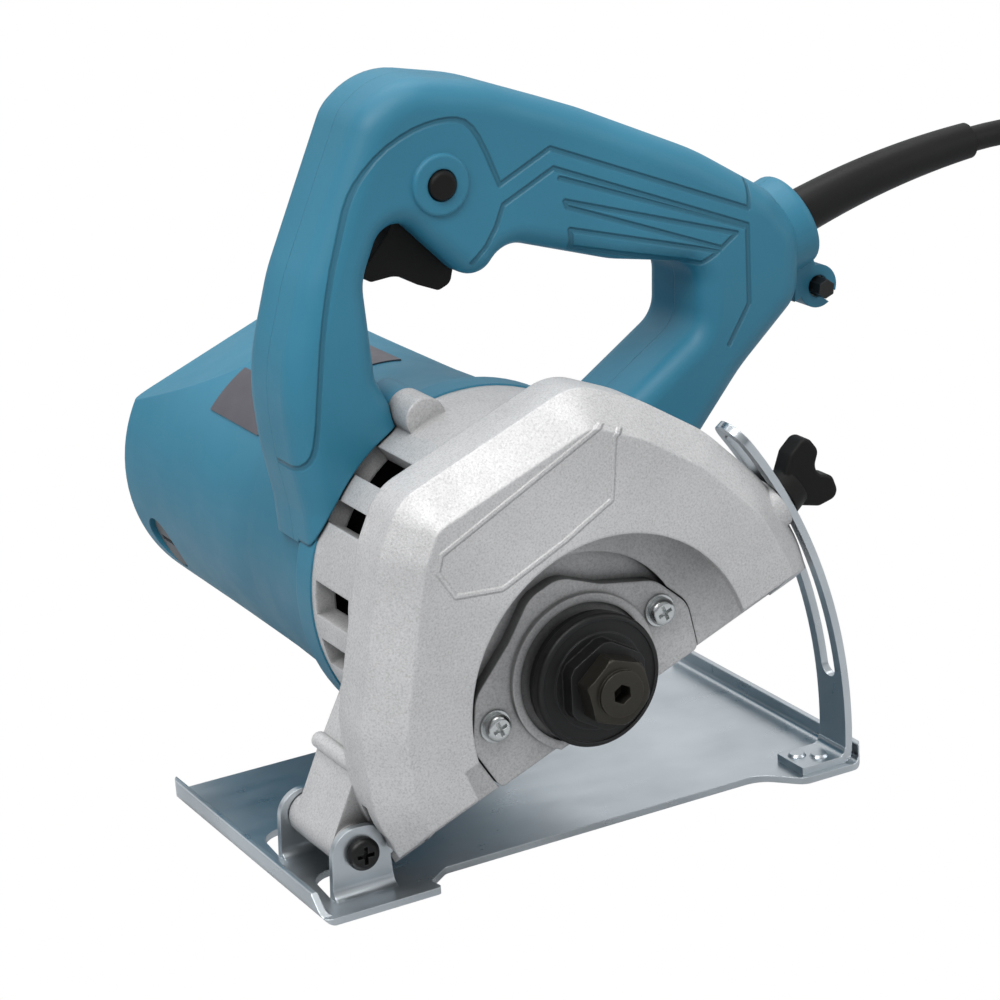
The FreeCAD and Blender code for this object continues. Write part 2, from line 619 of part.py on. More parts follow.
def cooling_fan():
    disc = tube(MOTOR_X, MOTOR_Z, 32.0, 4.0, -5.0, -3.4)
    hub = tube(MOTOR_X, MOTOR_Z, 8.0, 4.0, -10.6, -3.4)
    shapes = [disc, hub]
    blades = 16
    for i in range(blades):
        blade = box(MOTOR_X + 15, MOTOR_X + 31.5, -10.4, -4.8, MOTOR_Z - 0.7, MOTOR_Z + 0.7)
        blade.rotate(V(MOTOR_X + 23, 0, MOTOR_Z), V(0, 1, 0), 22)
        blade.rotate(V(MOTOR_X, 0, MOTOR_Z), V(0, 1, 0), i * 360.0 / blades)
        shapes.append(blade)
    return fuse_all(shapes)


# ---- motor housing and handle -------------------------------------------------------
# The handle's outline in the level unit: outside first, then the opening for the hand.
HANDLE_OUTLINE = [(36.5, 62, 0), (39.7, 71.5, 12), (43, 87.5, 60), (49.2, 107.5, 60),
                  (66.5, 129, 50), (84, 145.5, 40), (100.5, 161, 14), (115, 165, 22),
                  (137.5, 150, 60), (160, 129, 80), (188, 99, 80), (204.5, 76, 14),
                  (208.5, 61, 12), (200, 43, 12), (174.5, 34, 60), (155, 24, 0),
                  (112, 12, 0), (77, 20, 0), (45, 50, 0)]
OPENING = [(73.5, 95, 8), (82, 121, 16), (97, 135.5, 7), (110.3, 102.0, 7.2),
           (123.6, 108.5, 9.2), (150.5, 86, 40), (174.5, 70.5, 8), (166.5, 53, 9),
           (135, 46.5, 9), (115, 37, 8), (77, 45, 8)]
HIDDEN_R = 52.5           # the handle's edges inside this radius are under the housing
AIR_SLOT_IN = 15.0         # slots in the end wall, out from the motor axis
AIR_SLOT_OUT = 34.0
AIR_SLOT_H = 2.4
AIR_SLOT_PITCH = 6.5
HANDLE_EDGE_R = 8.0
OPENING_EDGE_R = 6.0
HANDLE_INSET = 5.0
HANDLE_CAVITY = 12.5
TRIGGER_Y0 = HANDLE_Y - 5.5
TRIGGER_Y1 = HANDLE_Y + 5.5
TRIGGER_PIVOT = (105.0, 127.0)
BUTTON = (112.0, 134.0)
KEY_X = 211.0             # hex key's axis under the handle's rear end
KEY_Z = 38.0
HANDLE_SCREWS = [(57.5, 100.0), (98.5, 146.0), (151.0, 124.0), (180.0, 47.8), (158, 36)]


def housing_profile(inset, y_start, y_end):
    """Half section of the motor housing, radius against y, drawn inward by inset."""
    def place(p):
        return V(BODY_X + p.x, p.y, BODY_Z)
    corners = [(0, y_start, 0), (51.5 - inset, y_start, 0), (51.5 - inset, 7.5, 1.0),
               (48.2 - inset, 10.5, 3.0), (46.8 - inset, 50, 0), (46.4 - inset, 100, 0),
               (46.4 - inset, y_end, 5.0), (0, y_end, 0)]
    face = Part.Face(rounded_wire(corners, place))
    return face.revolve(V(BODY_X, 0, BODY_Z), V(0, 1, 0), 360)


def housing_flats(grow):
    """Blocks cut off the round housing: flat underside and the slope on its far top."""
    under = box(0, 160, -20, 200, -80, FLOOR_Z + 0.4 + grow)
    top = side_prism([(96, 76 - grow, 0), (150, 64 - grow, 0), (150, 120, 0), (96, 120, 0)],
                     0, 160)
    return under.fuse(top)


def in_plane(edge, y):
    return abs(edge.BoundBox.YMin - y) < 1e-3 and abs(edge.BoundBox.YMax - y) < 1e-3


def outside_housing(edge):
    """True where the whole edge lies clear of the round housing."""
    ends = [vertex.Point for vertex in edge.Vertexes]
    return all(math.hypot(p.x - BODY_X, p.z - BODY_Z) > HIDDEN_R for p in ends)


def hand_opening(y0, y1, face_y):
    """Tool for the hand opening, flared where it meets the rounded face at face_y."""
    block = box(20, 230, y0, y1, 20, 190)
    hole = prism(OPENING, y0 - 1, y1 + 1)
    plate = block.cut(hole)
    rim = [e for e in plate.Edges if in_plane(e, face_y)
           and e.BoundBox.ZMin > 21 and e.BoundBox.ZMax < 189]
    return block.cut(plate.makeFillet(OPENING_EDGE_R, rim))


def handle_slab(y0, y1, face_y):
    """One side of the handle between its joint plane and its rounded face at face_y."""
    outer = prism(HANDLE_OUTLINE, y0, y1)
    rim = [e for e in outer.Edges if in_plane(e, face_y) and outside_housing(e)]
    outer = outer.makeFillet(HANDLE_EDGE_R, rim)
    return outer.cut(hand_opening(y0, y1, face_y))


def handle_cavity(y0, y1):
    outer_face = Part.Face(rounded_wire(HANDLE_OUTLINE, lambda p: V(p.x, y0, p.y)))
    inner = outer_face.makeOffset2D(-HANDLE_INSET).extrude(V(0, y1 - y0, 0))
    hand_face = Part.Face(rounded_wire(OPENING, lambda p: V(p.x, y0, p.y)))
    hand = hand_face.makeOffset2D(HANDLE_INSET).extrude(V(0, y1 - y0, 0))
    return inner.cut(hand)


def trigger_window():
    """Slot in both halves that the trigger moves through."""
    corners = [(80, 131.5, 0), (107, 131.5, 0), (121.5, 117, 0), (121.5, 99.5, 0),
               (109.5, 97.5, 0), (80, 100, 0)]
    return prism(corners, TRIGGER_Y0 - 0.6, TRIGGER_Y1 + 0.6)


def handle_ports():
    """Openings through the handle's wall: trigger, button, cord guard, key clip."""
    turn = math.radians(GUARD_TILT)
    along = V(math.cos(turn), 0, math.sin(turn))
    x, z = guard_centre(-16)
    guard_bore = rod(V(x, HANDLE_Y, z), along, GUARD_R0 + 0.5, 40)
    button = drum(BUTTON[0], BUTTON[1], 4.4, -12, 8)
    pin = drum(TRIGGER_PIVOT[0], TRIGGER_PIVOT[1], 1.52, HANDLE_Y - 10.6, HANDLE_Y + 10.6)
    return fuse_all([trigger_window(), guard_bore, button, pin])


def screw_posts(y0, y1):
    posts = [drum(x, z, 4.2, y0, y1) for x, z in HANDLE_SCREWS]
    return fuse_all(posts)


def guard_centre(distance):
    """Centre line of the cord guard: straight in the handle, then drooping."""
    turn = math.radians(GUARD_TILT)
    droop = GUARD_DROOP * distance * distance if distance > 0 else 0.0
    return (GUARD_X + distance * math.cos(turn),
            GUARD_Z + distance * math.sin(turn) - droop)


def guard_slope(distance):
    """Slope of the guard's centre line in the level unit (radians)."""
    droop = 2 * GUARD_DROOP * distance if distance > 0 else 0.0
    return math.radians(GUARD_TILT) - math.atan(droop)


def guard_ring(distance, radius):
    x, z = guard_centre(distance)
    slope = guard_slope(distance)
    circle = Part.Circle(V(x, HANDLE_Y, z), V(math.cos(slope), 0, math.sin(slope)), radius)
    return Part.Wire([circle.toShape()])


def cord_guard():
    """Rubber guard: a flange held in the handle and a tapering sleeve that droops."""
    steps = 9
    rings = []
    for i in range(steps):
        along = i / (steps - 1.0)
        rings.append(guard_ring(GUARD_LENGTH * along,
                                GUARD_R0 + (GUARD_R1 - GUARD_R0) * along))
    sleeve = Part.makeLoft(rings, True, False)
    x, z = guard_centre(-14)
    turn = math.radians(GUARD_TILT)
    along = V(math.cos(turn), 0, math.sin(turn))
    root = rod(V(x, HANDLE_Y, z), along, GUARD_R0, 14.02)
    flange = rod(V(x, HANDLE_Y, z), along, GUARD_R0 + 3, 3)
    return fuse_all([sleeve, root, flange])


def collar(y0, y1):
    """Thick ring at the handle's rear end round the cord guard, cut to one side."""
    turn = math.radians(GUARD_TILT)
    along = V(math.cos(turn), 0, math.sin(turn))
    x, z = guard_centre(-8)
    ring = rod(V(x, HANDLE_Y, z), along, 14.2, 16.5)
    ring = ring.makeFillet(2.4, [ring.Edges[0], ring.Edges[2]])
    return ring.common(box(150, 260, y0, y1, 0, 120))


def air_slots():
    """Two columns of slots in the housing's end wall where the cooling air enters."""
    slots = []
    for side in (-1, 1):
        for row in range(-2, 3):
            near = min(side * AIR_SLOT_IN, side * AIR_SLOT_OUT)
            far = max(side * AIR_SLOT_IN, side * AIR_SLOT_OUT)
            z = MOTOR_Z + row * AIR_SLOT_PITCH
            slots.append(box(MOTOR_X + near, MOTOR_X + far, MOTOR_END_Y - 8,
                             MOTOR_END_Y + 1, z - AIR_SLOT_H / 2, z + AIR_SLOT_H / 2))
    return Part.makeCompound(slots)


def motor_housing():
    shell = housing_profile(0, JOINT_Y, MOTOR_END_Y)
    far_half = handle_slab(HANDLE_Y, HANDLE_Y + HANDLE_HALF, HANDLE_Y + HANDLE_HALF)
    far_half = far_half.fuse(collar(HANDLE_Y, 60))
    shell = shell.cut(housing_flats(0))
    piece = shell.fuse(far_half)
    for angle in HOUSING_SCREW_ANGLES:
        x, z = polar(BODY_X, BODY_Z, HOUSING_SCREW_R, angle)
        piece = piece.fuse(drum(x, z, 5.8, JOINT_Y, 11.0))
    inside = housing_profile(3.0, JOINT_Y - 1, MOTOR_END_Y - 3.0)
    inside = inside.cut(housing_flats(3.0))
    cavity = handle_cavity(HANDLE_Y - 1, HANDLE_Y + HANDLE_CAVITY)
    wall = drum(BODY_X, BODY_Z, 50.0, JOINT_Y, 60)
    cavity = cavity.cut(wall)
    piece = piece.cut(inside).cut(cavity)
    posts = screw_posts(HANDLE_Y, HANDLE_Y + HANDLE_CAVITY + 1).cut(inside)
    posts = posts.fuse(clip()).fuse(core_pads())
    piece = piece.fuse(posts)
    end_boss = drum(MOTOR_X, MOTOR_Z, 11.0, 134.8, MOTOR_END_Y - 2)
    piece = piece.fuse(end_boss)
    skin = housing_profile(0.5, JOINT_Y, MOTOR_END_Y)
    for side in (-1, 1):
        piece = piece.fuse(side_rod(side, 12.0, BRUSH_CAP_R0 - 3, 60).common(skin))
    piece = piece.cut(drum(MOTOR_X, MOTOR_Z, 8.0, 134, 140.2))
    piece = piece.cut(air_slots())
    piece = piece.cut(handle_ports())
    for side in (-1, 1):
        piece = piece.cut(side_rod(side, 9.4, BRUSH_CAP_R0, 60))
        piece = piece.cut(side_rod(side, 6.2, BRUSH_CAP_R0 - 12, 60))
    y_far = HANDLE_Y + HANDLE_HALF
    for x, z in HANDLE_SCREWS:
        piece = piece.cut(drum(x, z, 2.1, HANDLE_Y - 1, y_far + 1))
        piece = piece.cut(drum(x, z, 3.9, y_far - 4.0, y_far + 1))
    for angle in HOUSING_SCREW_ANGLES:
        x, z = polar(BODY_X, BODY_Z, HOUSING_SCREW_R, angle)
        piece = piece.cut(drum(x, z, 2.2, JOINT_Y - 1, 20))
        piece = piece.cut(drum(x, z, 4.3, 8.0, 60))
    return piece.removeSplitter()


def clip_block(grow):
    """Solid outer shape of the key clip, grown all round."""
    y0 = HANDLE_Y - 4.5 - grow
    y1 = HANDLE_Y + 4.5 + grow
    outer = drum(KEY_X, KEY_Z, 6.4 + grow, y0, y1)
    neck = prism([(KEY_X - 9 - grow, KEY_Z, 0), (KEY_X - 4 - grow, KEY_Z + 10, 0),
                  (KEY_X + 2 + grow, KEY_Z + 10, 0), (KEY_X + 1 + grow, KEY_Z, 0)], y0, y1)
    return outer.fuse(neck)


def clip():
    """Open clip under the handle's rear end that holds the hex key."""
    shape = clip_block(0).cut(drum(KEY_X, KEY_Z, 3.3, HANDLE_Y - 6, HANDLE_Y + 6))
    mouth = box(KEY_X, KEY_X + 9, HANDLE_Y - 6, HANDLE_Y + 6, KEY_Z - 1.9, KEY_Z + 1.9)
    mouth.rotate(V(KEY_X, 0, KEY_Z), V(0, 1, 0), 60)
    return shape.cut(mouth)


def handle_cover():
    y0 = HANDLE_Y - HANDLE_HALF
    piece = handle_slab(y0, HANDLE_Y, y0).fuse(collar(-40, HANDLE_Y))
    cavity = handle_cavity(HANDLE_Y - HANDLE_CAVITY, HANDLE_Y + 1)
    piece = piece.cut(cavity)
    piece = piece.fuse(screw_posts(HANDLE_Y - HANDLE_CAVITY - 1, HANDLE_Y))
    saddle = housing_profile(-0.3, JOINT_Y - 8, MOTOR_END_Y)
    piece = piece.cut(saddle)
    casting_room = drum(BODY_X, BODY_Z, JOINT_R + 0.4, -12, JOINT_Y + 0.2)
    piece = piece.cut(casting_room)
    for angle in HOUSING_SCREW_ANGLES:
        x, z = polar(BODY_X, BODY_Z, HOUSING_SCREW_R, angle)
        piece = piece.cut(drum(x, z, 6.2, -20, 40))
    boss = drum(BUTTON[0], BUTTON[1], 8.5, y0 - 1.2, y0 + 5)
    rim = [e for e in boss.Edges if e.BoundBox.YMax < y0 - 1.19]
    piece = piece.fuse(boss.makeFillet(1.0, rim))
    piece = piece.cut(handle_ports())
    for x, z in HANDLE_SCREWS:
        piece = piece.cut(drum(x, z, 1.9, HANDLE_Y - 10, HANDLE_Y + 1))
    piece = piece.cut(clip_block(0.3))
    largest = max(piece.Solids, key=lambda solid: solid.Volume)
    return largest.removeSplitter()


# ---- motor internals ----------------------------------------------------------------
def field_core():
    core = drum(MOTOR_X, MOTOR_Z, CORE_R, CORE_Y0, CORE_Y1)
    core = core.common(box(0, 160, 20, 100, MOTOR_Z - 31, MOTOR_Z + 31))
    core = core.common(drum(BODY_X, BODY_Z, 41.6, CORE_Y0, CORE_Y1))
    core = core.cut(drum(MOTOR_X, MOTOR_Z, 23.3, 20, 90))
    for side in (0, 180):
        core = core.cut(sector(MOTOR_X, MOTOR_Z, 22, 31, 20, 90, side - 38, side + 38))
    return core.removeSplitter()


def core_pads():
    """Pads inside the housing that the field core is pressed between."""
    pads = []
    for side in (0, 180):
        pad = sector(MOTOR_X, MOTOR_Z, CORE_R + 0.05, 47, CORE_Y0 + 2, CORE_Y1 - 2,
                     side - 9, side + 9)
        pads.append(pad.common(housing_profile(1.5, JOINT_Y, MOTOR_END_Y)))
    return pads[0].fuse(pads[1])


def field_windings():
    shape = tube(MOTOR_X, MOTOR_Z, 30.6, 24.0, CORE_Y0 - 10, CORE_Y0 - 0.2)
    shape = shape.fuse(tube(MOTOR_X, MOTOR_Z, 30.6, 24.0, CORE_Y1 + 0.2, CORE_Y1 + 11))
    for side in (0, 180):
        bar = sector(MOTOR_X, MOTOR_Z, 24.0, 30.6, CORE_Y0 - 1, CORE_Y1 + 1,
                     side - 36, side + 36)
        shape = shape.fuse(bar)
    return shape.removeSplitter()


def side_rod(side, radius, r0, r1):
    """Cylinder along x on the brush line, from r0 to r1 outward from the motor axis."""
    return rod(V(MOTOR_X + side * r0, BRUSH_Y, MOTOR_Z), V(side, 0, 0), radius, r1 - r0)


def brush_holders():
    holders = []
    for side in (-1, 1):
        sleeve = side_rod(side, 6.1, 13.6, BRUSH_CAP_R0 - 0.3)
        slot = box(min(side * 13, side * 34), max(side * 13, side * 34),
                   BRUSH_Y - 3.2, BRUSH_Y + 3.2, -4.2, 4.2)
        slot.translate(V(MOTOR_X, 0, MOTOR_Z))
        holders.append(sleeve.cut(slot))
    return Part.makeCompound(holders)


def carbon_brushes():
    brushes = []
    for side in (-1, 1):
        block = box(min(side * 12.1, side * 28), max(side * 12.1, side * 28),
                    BRUSH_Y - 3.1, BRUSH_Y + 3.1, -4.1, 4.1)
        block.translate(V(MOTOR_X, 0, MOTOR_Z))
        brushes.append(block)
    return Part.makeCompound(brushes)


def brush_caps():
    caps = []
    for side in (-1, 1):
        cap = side_rod(side, 9.0, BRUSH_CAP_R0, BRUSH_CAP_R1)
        face_x = MOTOR_X + side * BRUSH_CAP_R1
        rim = [e for e in cap.Edges if abs(e.BoundBox.XMin - face_x) < 0.01
               and abs(e.BoundBox.XMax - face_x) < 0.01]
        cap = cap.makeFillet(0.8, rim)
        slot = box(face_x - 1.6, face_x + 1.6, BRUSH_Y - 6.2, BRUSH_Y + 6.2,
                   MOTOR_Z - 0.9, MOTOR_Z + 0.9)
        caps.append(cap.cut(slot))
    return Part.makeCompound(caps)


def fan_baffle():
    """Ring that guides the air into the fan, held in the housing's mouth."""
    ring = drum(BODY_X, BODY_Z, 48.2, 0.5, 3.0)
    ring = ring.common(box(0, 160, -5, 20, -7.3, 90))
    return ring.cut(drum(MOTOR_X, MOTOR_Z, 25.0, -1, 5))


def switch_body():
    """Switch in the grip, turned to lie along it."""
    block = box(-17, 17, HANDLE_Y - 9, HANDLE_Y + 9, -8, 8)
    block = block.fuse(box(-21, -16.9, HANDLE_Y - 3, HANDLE_Y + 3, -3, 3))
    block.rotate(V(0, 0, 0), V(0, 1, 0), 40)
    block.translate(V(145.0, 0, 110.0))
    return block


def trigger():
    corners = [(85, 120, 2), (86, 116.5, 2), (94, 114, 8), (98, 108.5, 3), (103, 103.5, 2),
               (107, 103.5, 3), (111, 109, 5), (119, 114, 2), (117, 120, 3), (109.5, 130, 4),
               (101.5, 130, 3), (97, 126, 6)]
    blade = prism(corners, TRIGGER_Y0, TRIGGER_Y1)
    return blade.cut(drum(TRIGGER_PIVOT[0], TRIGGER_PIVOT[1], 1.56, 0, 22))


def trigger_pin():
    return drum(TRIGGER_PIVOT[0], TRIGGER_PIVOT[1], 1.5, TRIGGER_Y0 - 5.0, TRIGGER_Y1 + 5.0)


def lock_button():
    y0 = HANDLE_Y - HANDLE_HALF
    stem = drum(BUTTON[0], BUTTON[1], 4.1, y0 - 2.6, y0 + 6.0)
    rim = [e for e in stem.Edges if e.BoundBox.YMax < y0 - 2.59]
    return stem.makeFillet(1.4, rim)


def handle_screws():
    screws = []
    y_seat = HANDLE_Y + HANDLE_HALF - 4.0
    for x, z in HANDLE_SCREWS:
        head = pan_head(x, z, y_seat, 3.7, 2.4, 1)
        shank = drum(x, z, 1.8, HANDLE_Y - 9, y_seat + 0.2)
        screws.append(head.fuse(shank).removeSplitter())
    return Part.makeCompound(screws)


def housing_screws():
    screws = []
    for angle in HOUSING_SCREW_ANGLES:
        x, z = polar(BODY_X, BODY_Z, HOUSING_SCREW_R, angle)
        head = pan_head(x, z, 8.0, 4.0, 2.8, 1)
        screws.append(head.fuse(drum(x, z, 2.0, -11.5, 8.2)).removeSplitter())
    return Part.makeCompound(screws)


def labels():
    """Two blank plates on the housing's skin, one by the handle and one on its far side."""
    plates = []
    skin = housing_profile(-0.45, JOINT_Y, MOTOR_END_Y)
    skin = skin.cut(housing_profile(-0.02, JOINT_Y - 1, MOTOR_END_Y + 1))
    side = skin.common(box(20, 77, 60, 94, 30, 90))
    side = side.common(sector(BODY_X, BODY_Z, 30, 60, 40, 120, 99, 119))
    top = skin.common(box(66, 100, 50, 76, 60, 100))
    for shape in (side, top):
        plates.extend(shape.Solids)
    return Part.makeCompound(plates)


# ---- wing bolt, hex key -------------------------------------------------------------
def wing_bolt():
    seat = GUIDE_R + 0.3
    shaft = radial_piece(BOLT_R, 140.5, seat + 2)
    collar = Part.makeCone(6.9, 5.9, 5.0, V(seat, BOLT_Y, 0), V(1, 0, 0))
    outline = [(seat + 2.5, -5.2, 2), (seat + 7.5, -9.6, 3), (seat + 14.4, -11.3, 2.8),
               (seat + 15.4, -4.6, 2.8), (seat + 10.4, 0, 3.4), (seat + 15.4, 4.6, 2.8),
               (seat + 14.4, 11.3, 2.8), (seat + 7.5, 9.6, 3), (seat + 2.5, 5.2, 2)]
    wing = prism(outline, BOLT_Y - 3.4, BOLT_Y + 3.4)
    edges = [e for e in wing.Edges if e.BoundBox.YLength < 1e-3]
    wing = wing.makeFillet(1.0, edges)
    knob = wing.fuse(collar)
    knob.rotate(V(0, 0, 0), V(0, -1, 0), BOLT_ANGLE)
    return shaft.fuse(knob).removeSplitter()


def radial_piece(radius, r0, r1):
    piece = rod(V(r0, BOLT_Y, 0), V(1, 0, 0), radius, r1 - r0)
    piece.rotate(V(0, 0, 0), V(0, -1, 0), BOLT_ANGLE)
    return piece


def hex_key():
    """L-shaped key kept across the clip, its short arm turned down."""
    long_arm = hexagon(KEY_X, KEY_Z, 5.0, HANDLE_Y - 9, HANDLE_Y + 52)
    short_arm = hexagon(0, 0, 5.0, 0, 22)
    short_arm.rotate(V(0, 0, 0), V(1, 0, 0), -90)
    short_arm.translate(V(KEY_X, HANDLE_Y + 49.5, KEY_Z))
    return long_arm.fuse(short_arm).removeSplitter()


# ---- mains lead ---------------------------------------------------------------------
LEAD_ROUTE = [(250.0, 10.5, 136.0), (275.0, 10.5, 88.0), (296.0, 10.5, 40.0),
              (326.0, 10.5, 9.2), (366.0, 10.5, 4.4)]
COIL_R = 40.0             # middle of the coil's turns
COIL_COLUMNS = 3
COIL_LAYERS = 2
COIL_OUT_R = COIL_R + CORD_D * COIL_COLUMNS / 2
COIL_TANGENT_R = COIL_R + CORD_D * (COIL_COLUMNS - 1) / 2
COIL_X = 383.5
COIL_Y = HANDLE_Y + COIL_TANGENT_R
PLUG_X = 361.0
PLUG_Z = CORD_D * (COIL_LAYERS - 0.5)
PLUG_TILT = 8.0
PLUG_R = 17.0


def rounded_path(points):
    """Wire of straight runs joined by arcs as large as the runs allow."""
    edges = []
    start = V(*points[0])
    for i in range(1, len(points) - 1):
        before = V(*points[i - 1])
        here = V(*points[i])
        after = V(*points[i + 1])
        back = (before - here)
        ahead = (after - here)
        shorter = min(back.Length, ahead.Length)
        back.normalize()
        ahead.normalize()
        half_turn = (math.pi - back.getAngle(ahead)) / 2
        setback = 0.45 * shorter
        radius = setback / math.tan(half_turn)
        print("lead bend radius", round(radius, 1))
        first = here + back * setback
        last = here + ahead * setback
        bisector = (back + ahead).normalize()
        depth = radius / math.cos(half_turn) - radius
        edges.append(Part.LineSegment(start, first).toShape())
        edges.append(Part.Arc(first, here + bisector * depth, last).toShape())
        start = last
    edges.append(Part.LineSegment(start, V(*points[-1])).toShape())
    return Part.Wire(edges)


def lead_tube():
    x, z = guard_centre(GUARD_LENGTH)
    tip = tilt_point(x, HANDLE_Y, z)
    slope = guard_slope(GUARD_LENGTH) + math.radians(PITCH)
    points = [(tip.x, tip.y, tip.z)]
    reach = 38.5
    points.append((tip.x + reach * math.cos(slope), tip.y, tip.z + reach * math.sin(slope)))
    points.extend(LEAD_ROUTE)
    print("lead starts", [round(v, 2) for p in points[:2] for v in p])
    path = rounded_path(points)
    circle = Part.Circle(tip, V(math.cos(slope), 0, math.sin(slope)), CORD_D / 2)
    pipe = path.makePipeShell([Part.Wire([circle.toShape()])], True, True)
    section = math.pi * CORD_D ** 2 / 4
    print("lead tube length", round(path.Length, 1),
          "volume ratio", round(pipe.Volume / (section * path.Length), 4))
    return pipe


def lead_coil():
    height = CORD_D * COIL_LAYERS
    inner = COIL_R - CORD_D * COIL_COLUMNS / 2
    ring = Part.makeCylinder(COIL_OUT_R, height, V(COIL_X, COIL_Y, 0))
    ring = ring.cut(Part.makeCylinder(inner, height + 2, V(COIL_X, COIL_Y, -1)))
    circles = [e for e in ring.Edges if e.BoundBox.ZLength < 1e-6]
    ring = ring.makeFillet(CORD_D * 0.4, circles)
    turns = COIL_COLUMNS * COIL_LAYERS + 0.5
    print("lead coil length", round(turns * 2 * math.pi * COIL_R, 1))
    return ring


def plug_place(shape):
    """Turn a plug piece from its own axis (+x) to its place beside the coil."""
    placed = shape.copy()
    placed.rotate(V(0, 0, 0), V(0, 1, 0), -PLUG_TILT)
    placed.rotate(V(0, 0, 0), V(0, 0, 1), 180)
    placed.translate(V(PLUG_X, COIL_Y + COIL_TANGENT_R, PLUG_Z))
    return placed


def plug_body():
    corners = [(0, 0, 0), (0, 5.2, 1.0), (20, 7.6, 3.0), (26, 12.0, 4.0), (40, PLUG_R, 5.0),
               (58, PLUG_R, 1.5), (58, 0, 0)]
    wire = rounded_wire(corners, lambda p: V(p.x, 0, p.y))
    body = Part.Face(wire).revolve(V(0, 0, 0), V(1, 0, 0), 360)
    for side in (-1, 1):
        body = body.cut(rod(V(50, side * 9.5, 0), V(1, 0, 0), 2.4, 12))
    return plug_place(body)


def plug_pins():
    pins = []
    for side in (-1, 1):
        pin = rod(V(50, side * 9.5, 0), V(1, 0, 0), 2.4, 27)
        tip = [e for e in pin.Edges if e.BoundBox.XMin > 76.9]
        pins.append(plug_place(pin.makeFillet(1.2, tip)))
    return Part.makeCompound(pins)


# ---- springs and small inner pieces -------------------------------------------------
def coil_spring(x, y, z, radius, wire_r, height, turns, axis):
    """Spring drawn as a stack of rings joined by short posts."""
    rings = []
    for i in range(turns):
        level = wire_r + i * (height - 2 * wire_r) / (turns - 1)
        rings.append(Part.makeTorus(radius, wire_r, V(0, 0, level), V(0, 0, 1)))
    for i in range(turns - 1):
        low = wire_r + i * (height - 2 * wire_r) / (turns - 1)
        side = radius if i % 2 == 0 else -radius
        rings.append(Part.makeCylinder(wire_r * 0.8, (height - 2 * wire_r) / (turns - 1),
                                       V(side, 0, low)))
    spring = fuse_all(rings)
    turn = FreeCAD.Rotation(V(0, 0, 1), axis)
    spring.Placement = FreeCAD.Placement(V(x, y, z), turn)
    return spring


def button_spring():
    return coil_spring(BUTTON[0], HANDLE_Y - HANDLE_HALF + 10.2, BUTTON[1], 2.6, 0.35, 4.0, 4,
                       V(0, 1, 0))


def lead_clamp():
    """Bar that holds the lead inside the handle's rear end."""
    x, z = guard_centre(-20)
    bar = box(x - 4, x + 4, HANDLE_Y - 11, HANDLE_Y - 5, z - 7, z + 9)
    return bar.cut(drum(x, z + 5.5, 1.9, -20, 20)).cut(drum(x, z - 3.5, 1.9, -20, 20))


def clamp_screws():
    x, z = guard_centre(-20)
    screws = []
    for side in (-3.5, 5.5):
        head = pan_head(x, z + side, HANDLE_Y - 5, 3.2, 2.0, 1)
        screws.append(head.fuse(drum(x, z + side, 1.8, HANDLE_Y - 10.5, HANDLE_Y - 4.8)))
    return Part.makeCompound([screw.removeSplitter() for screw in screws])


def main():
    os.makedirs(PARTS, exist_ok=True)
    level_pieces = {
        "gear_housing": gear_housing(),
        "bearing_box": bearing_box(),
        "bearing_box_screws": bearing_box_screws(),
        "bearing_box_washers": bearing_box_washers(),
        "spindle": spindle(),
        "drive_gear": drive_gear(),
        "inner_flange": inner_flange(),
        "outer_flange": outer_flange(),
        "arbor_bolt": arbor_bolt(),
        "spindle_front_bearing": ball_bearing(SPINDLE_X, SPINDLE_Z, 14.0, 6.05, -37.3, -29.5),
        "spindle_rear_bearing": ball_bearing(SPINDLE_X, SPINDLE_Z, 8.0, 4.05, -19.0, -14.1),
        "armature_front_bearing": ball_bearing(MOTOR_X, MOTOR_Z, 11.0, 4.05, -19.0, -13.0),
        "armature_rear_bearing": ball_bearing(MOTOR_X, MOTOR_Z, 8.0, 4.05, 135.2, 140.2),
        "armature_shaft": armature_shaft(),
        "armature_core": armature_core(),
        "armature_windings": armature_windings(),
        "commutator": commutator(),
        "cooling_fan": cooling_fan(),
        "field_core": field_core(),
        "field_windings": field_windings(),
        "fan_baffle": fan_baffle(),
        "brush_holders": brush_holders(),
        "carbon_brushes": carbon_brushes(),
        "brush_caps": brush_caps(),
        "motor_housing": motor_housing(),
        "handle_cover": handle_cover(),
        "handle_screws": handle_screws(),
        "housing_screws": housing_screws(),
        "label_plates": labels(),
        "switch_body": switch_body(),
        "trigger": trigger(),
        "trigger_pin": trigger_pin(),
        "lock_button": lock_button(),
        "button_spring": button_spring(),
        "lead_clamp": lead_clamp(),
        "clamp_screws": clamp_screws(),
        "cord_guard": cord_guard(),
        "wing_bolt": wing_bolt(),
        "hex_key": hex_key(),
    }
    for name, shape in level_pieces.items():
        save(name, tilt(shape))
    save("base_plate", base_plate())
    save("depth_guide", depth_guide())
    save("guide_rivets", guide_rivets())
    save("hinge_screw", hinge_screw())
    save("hinge_nut", hinge_nut())
    save("lead_tube", lead_tube())
    save("lead_coil", lead_coil())
    save("plug_body", plug_body())
    save("plug_pins", plug_pins())


if __name__ == "__main__":
    main()
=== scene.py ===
import json
import math

import bpy
from mathutils import Matrix, Vector


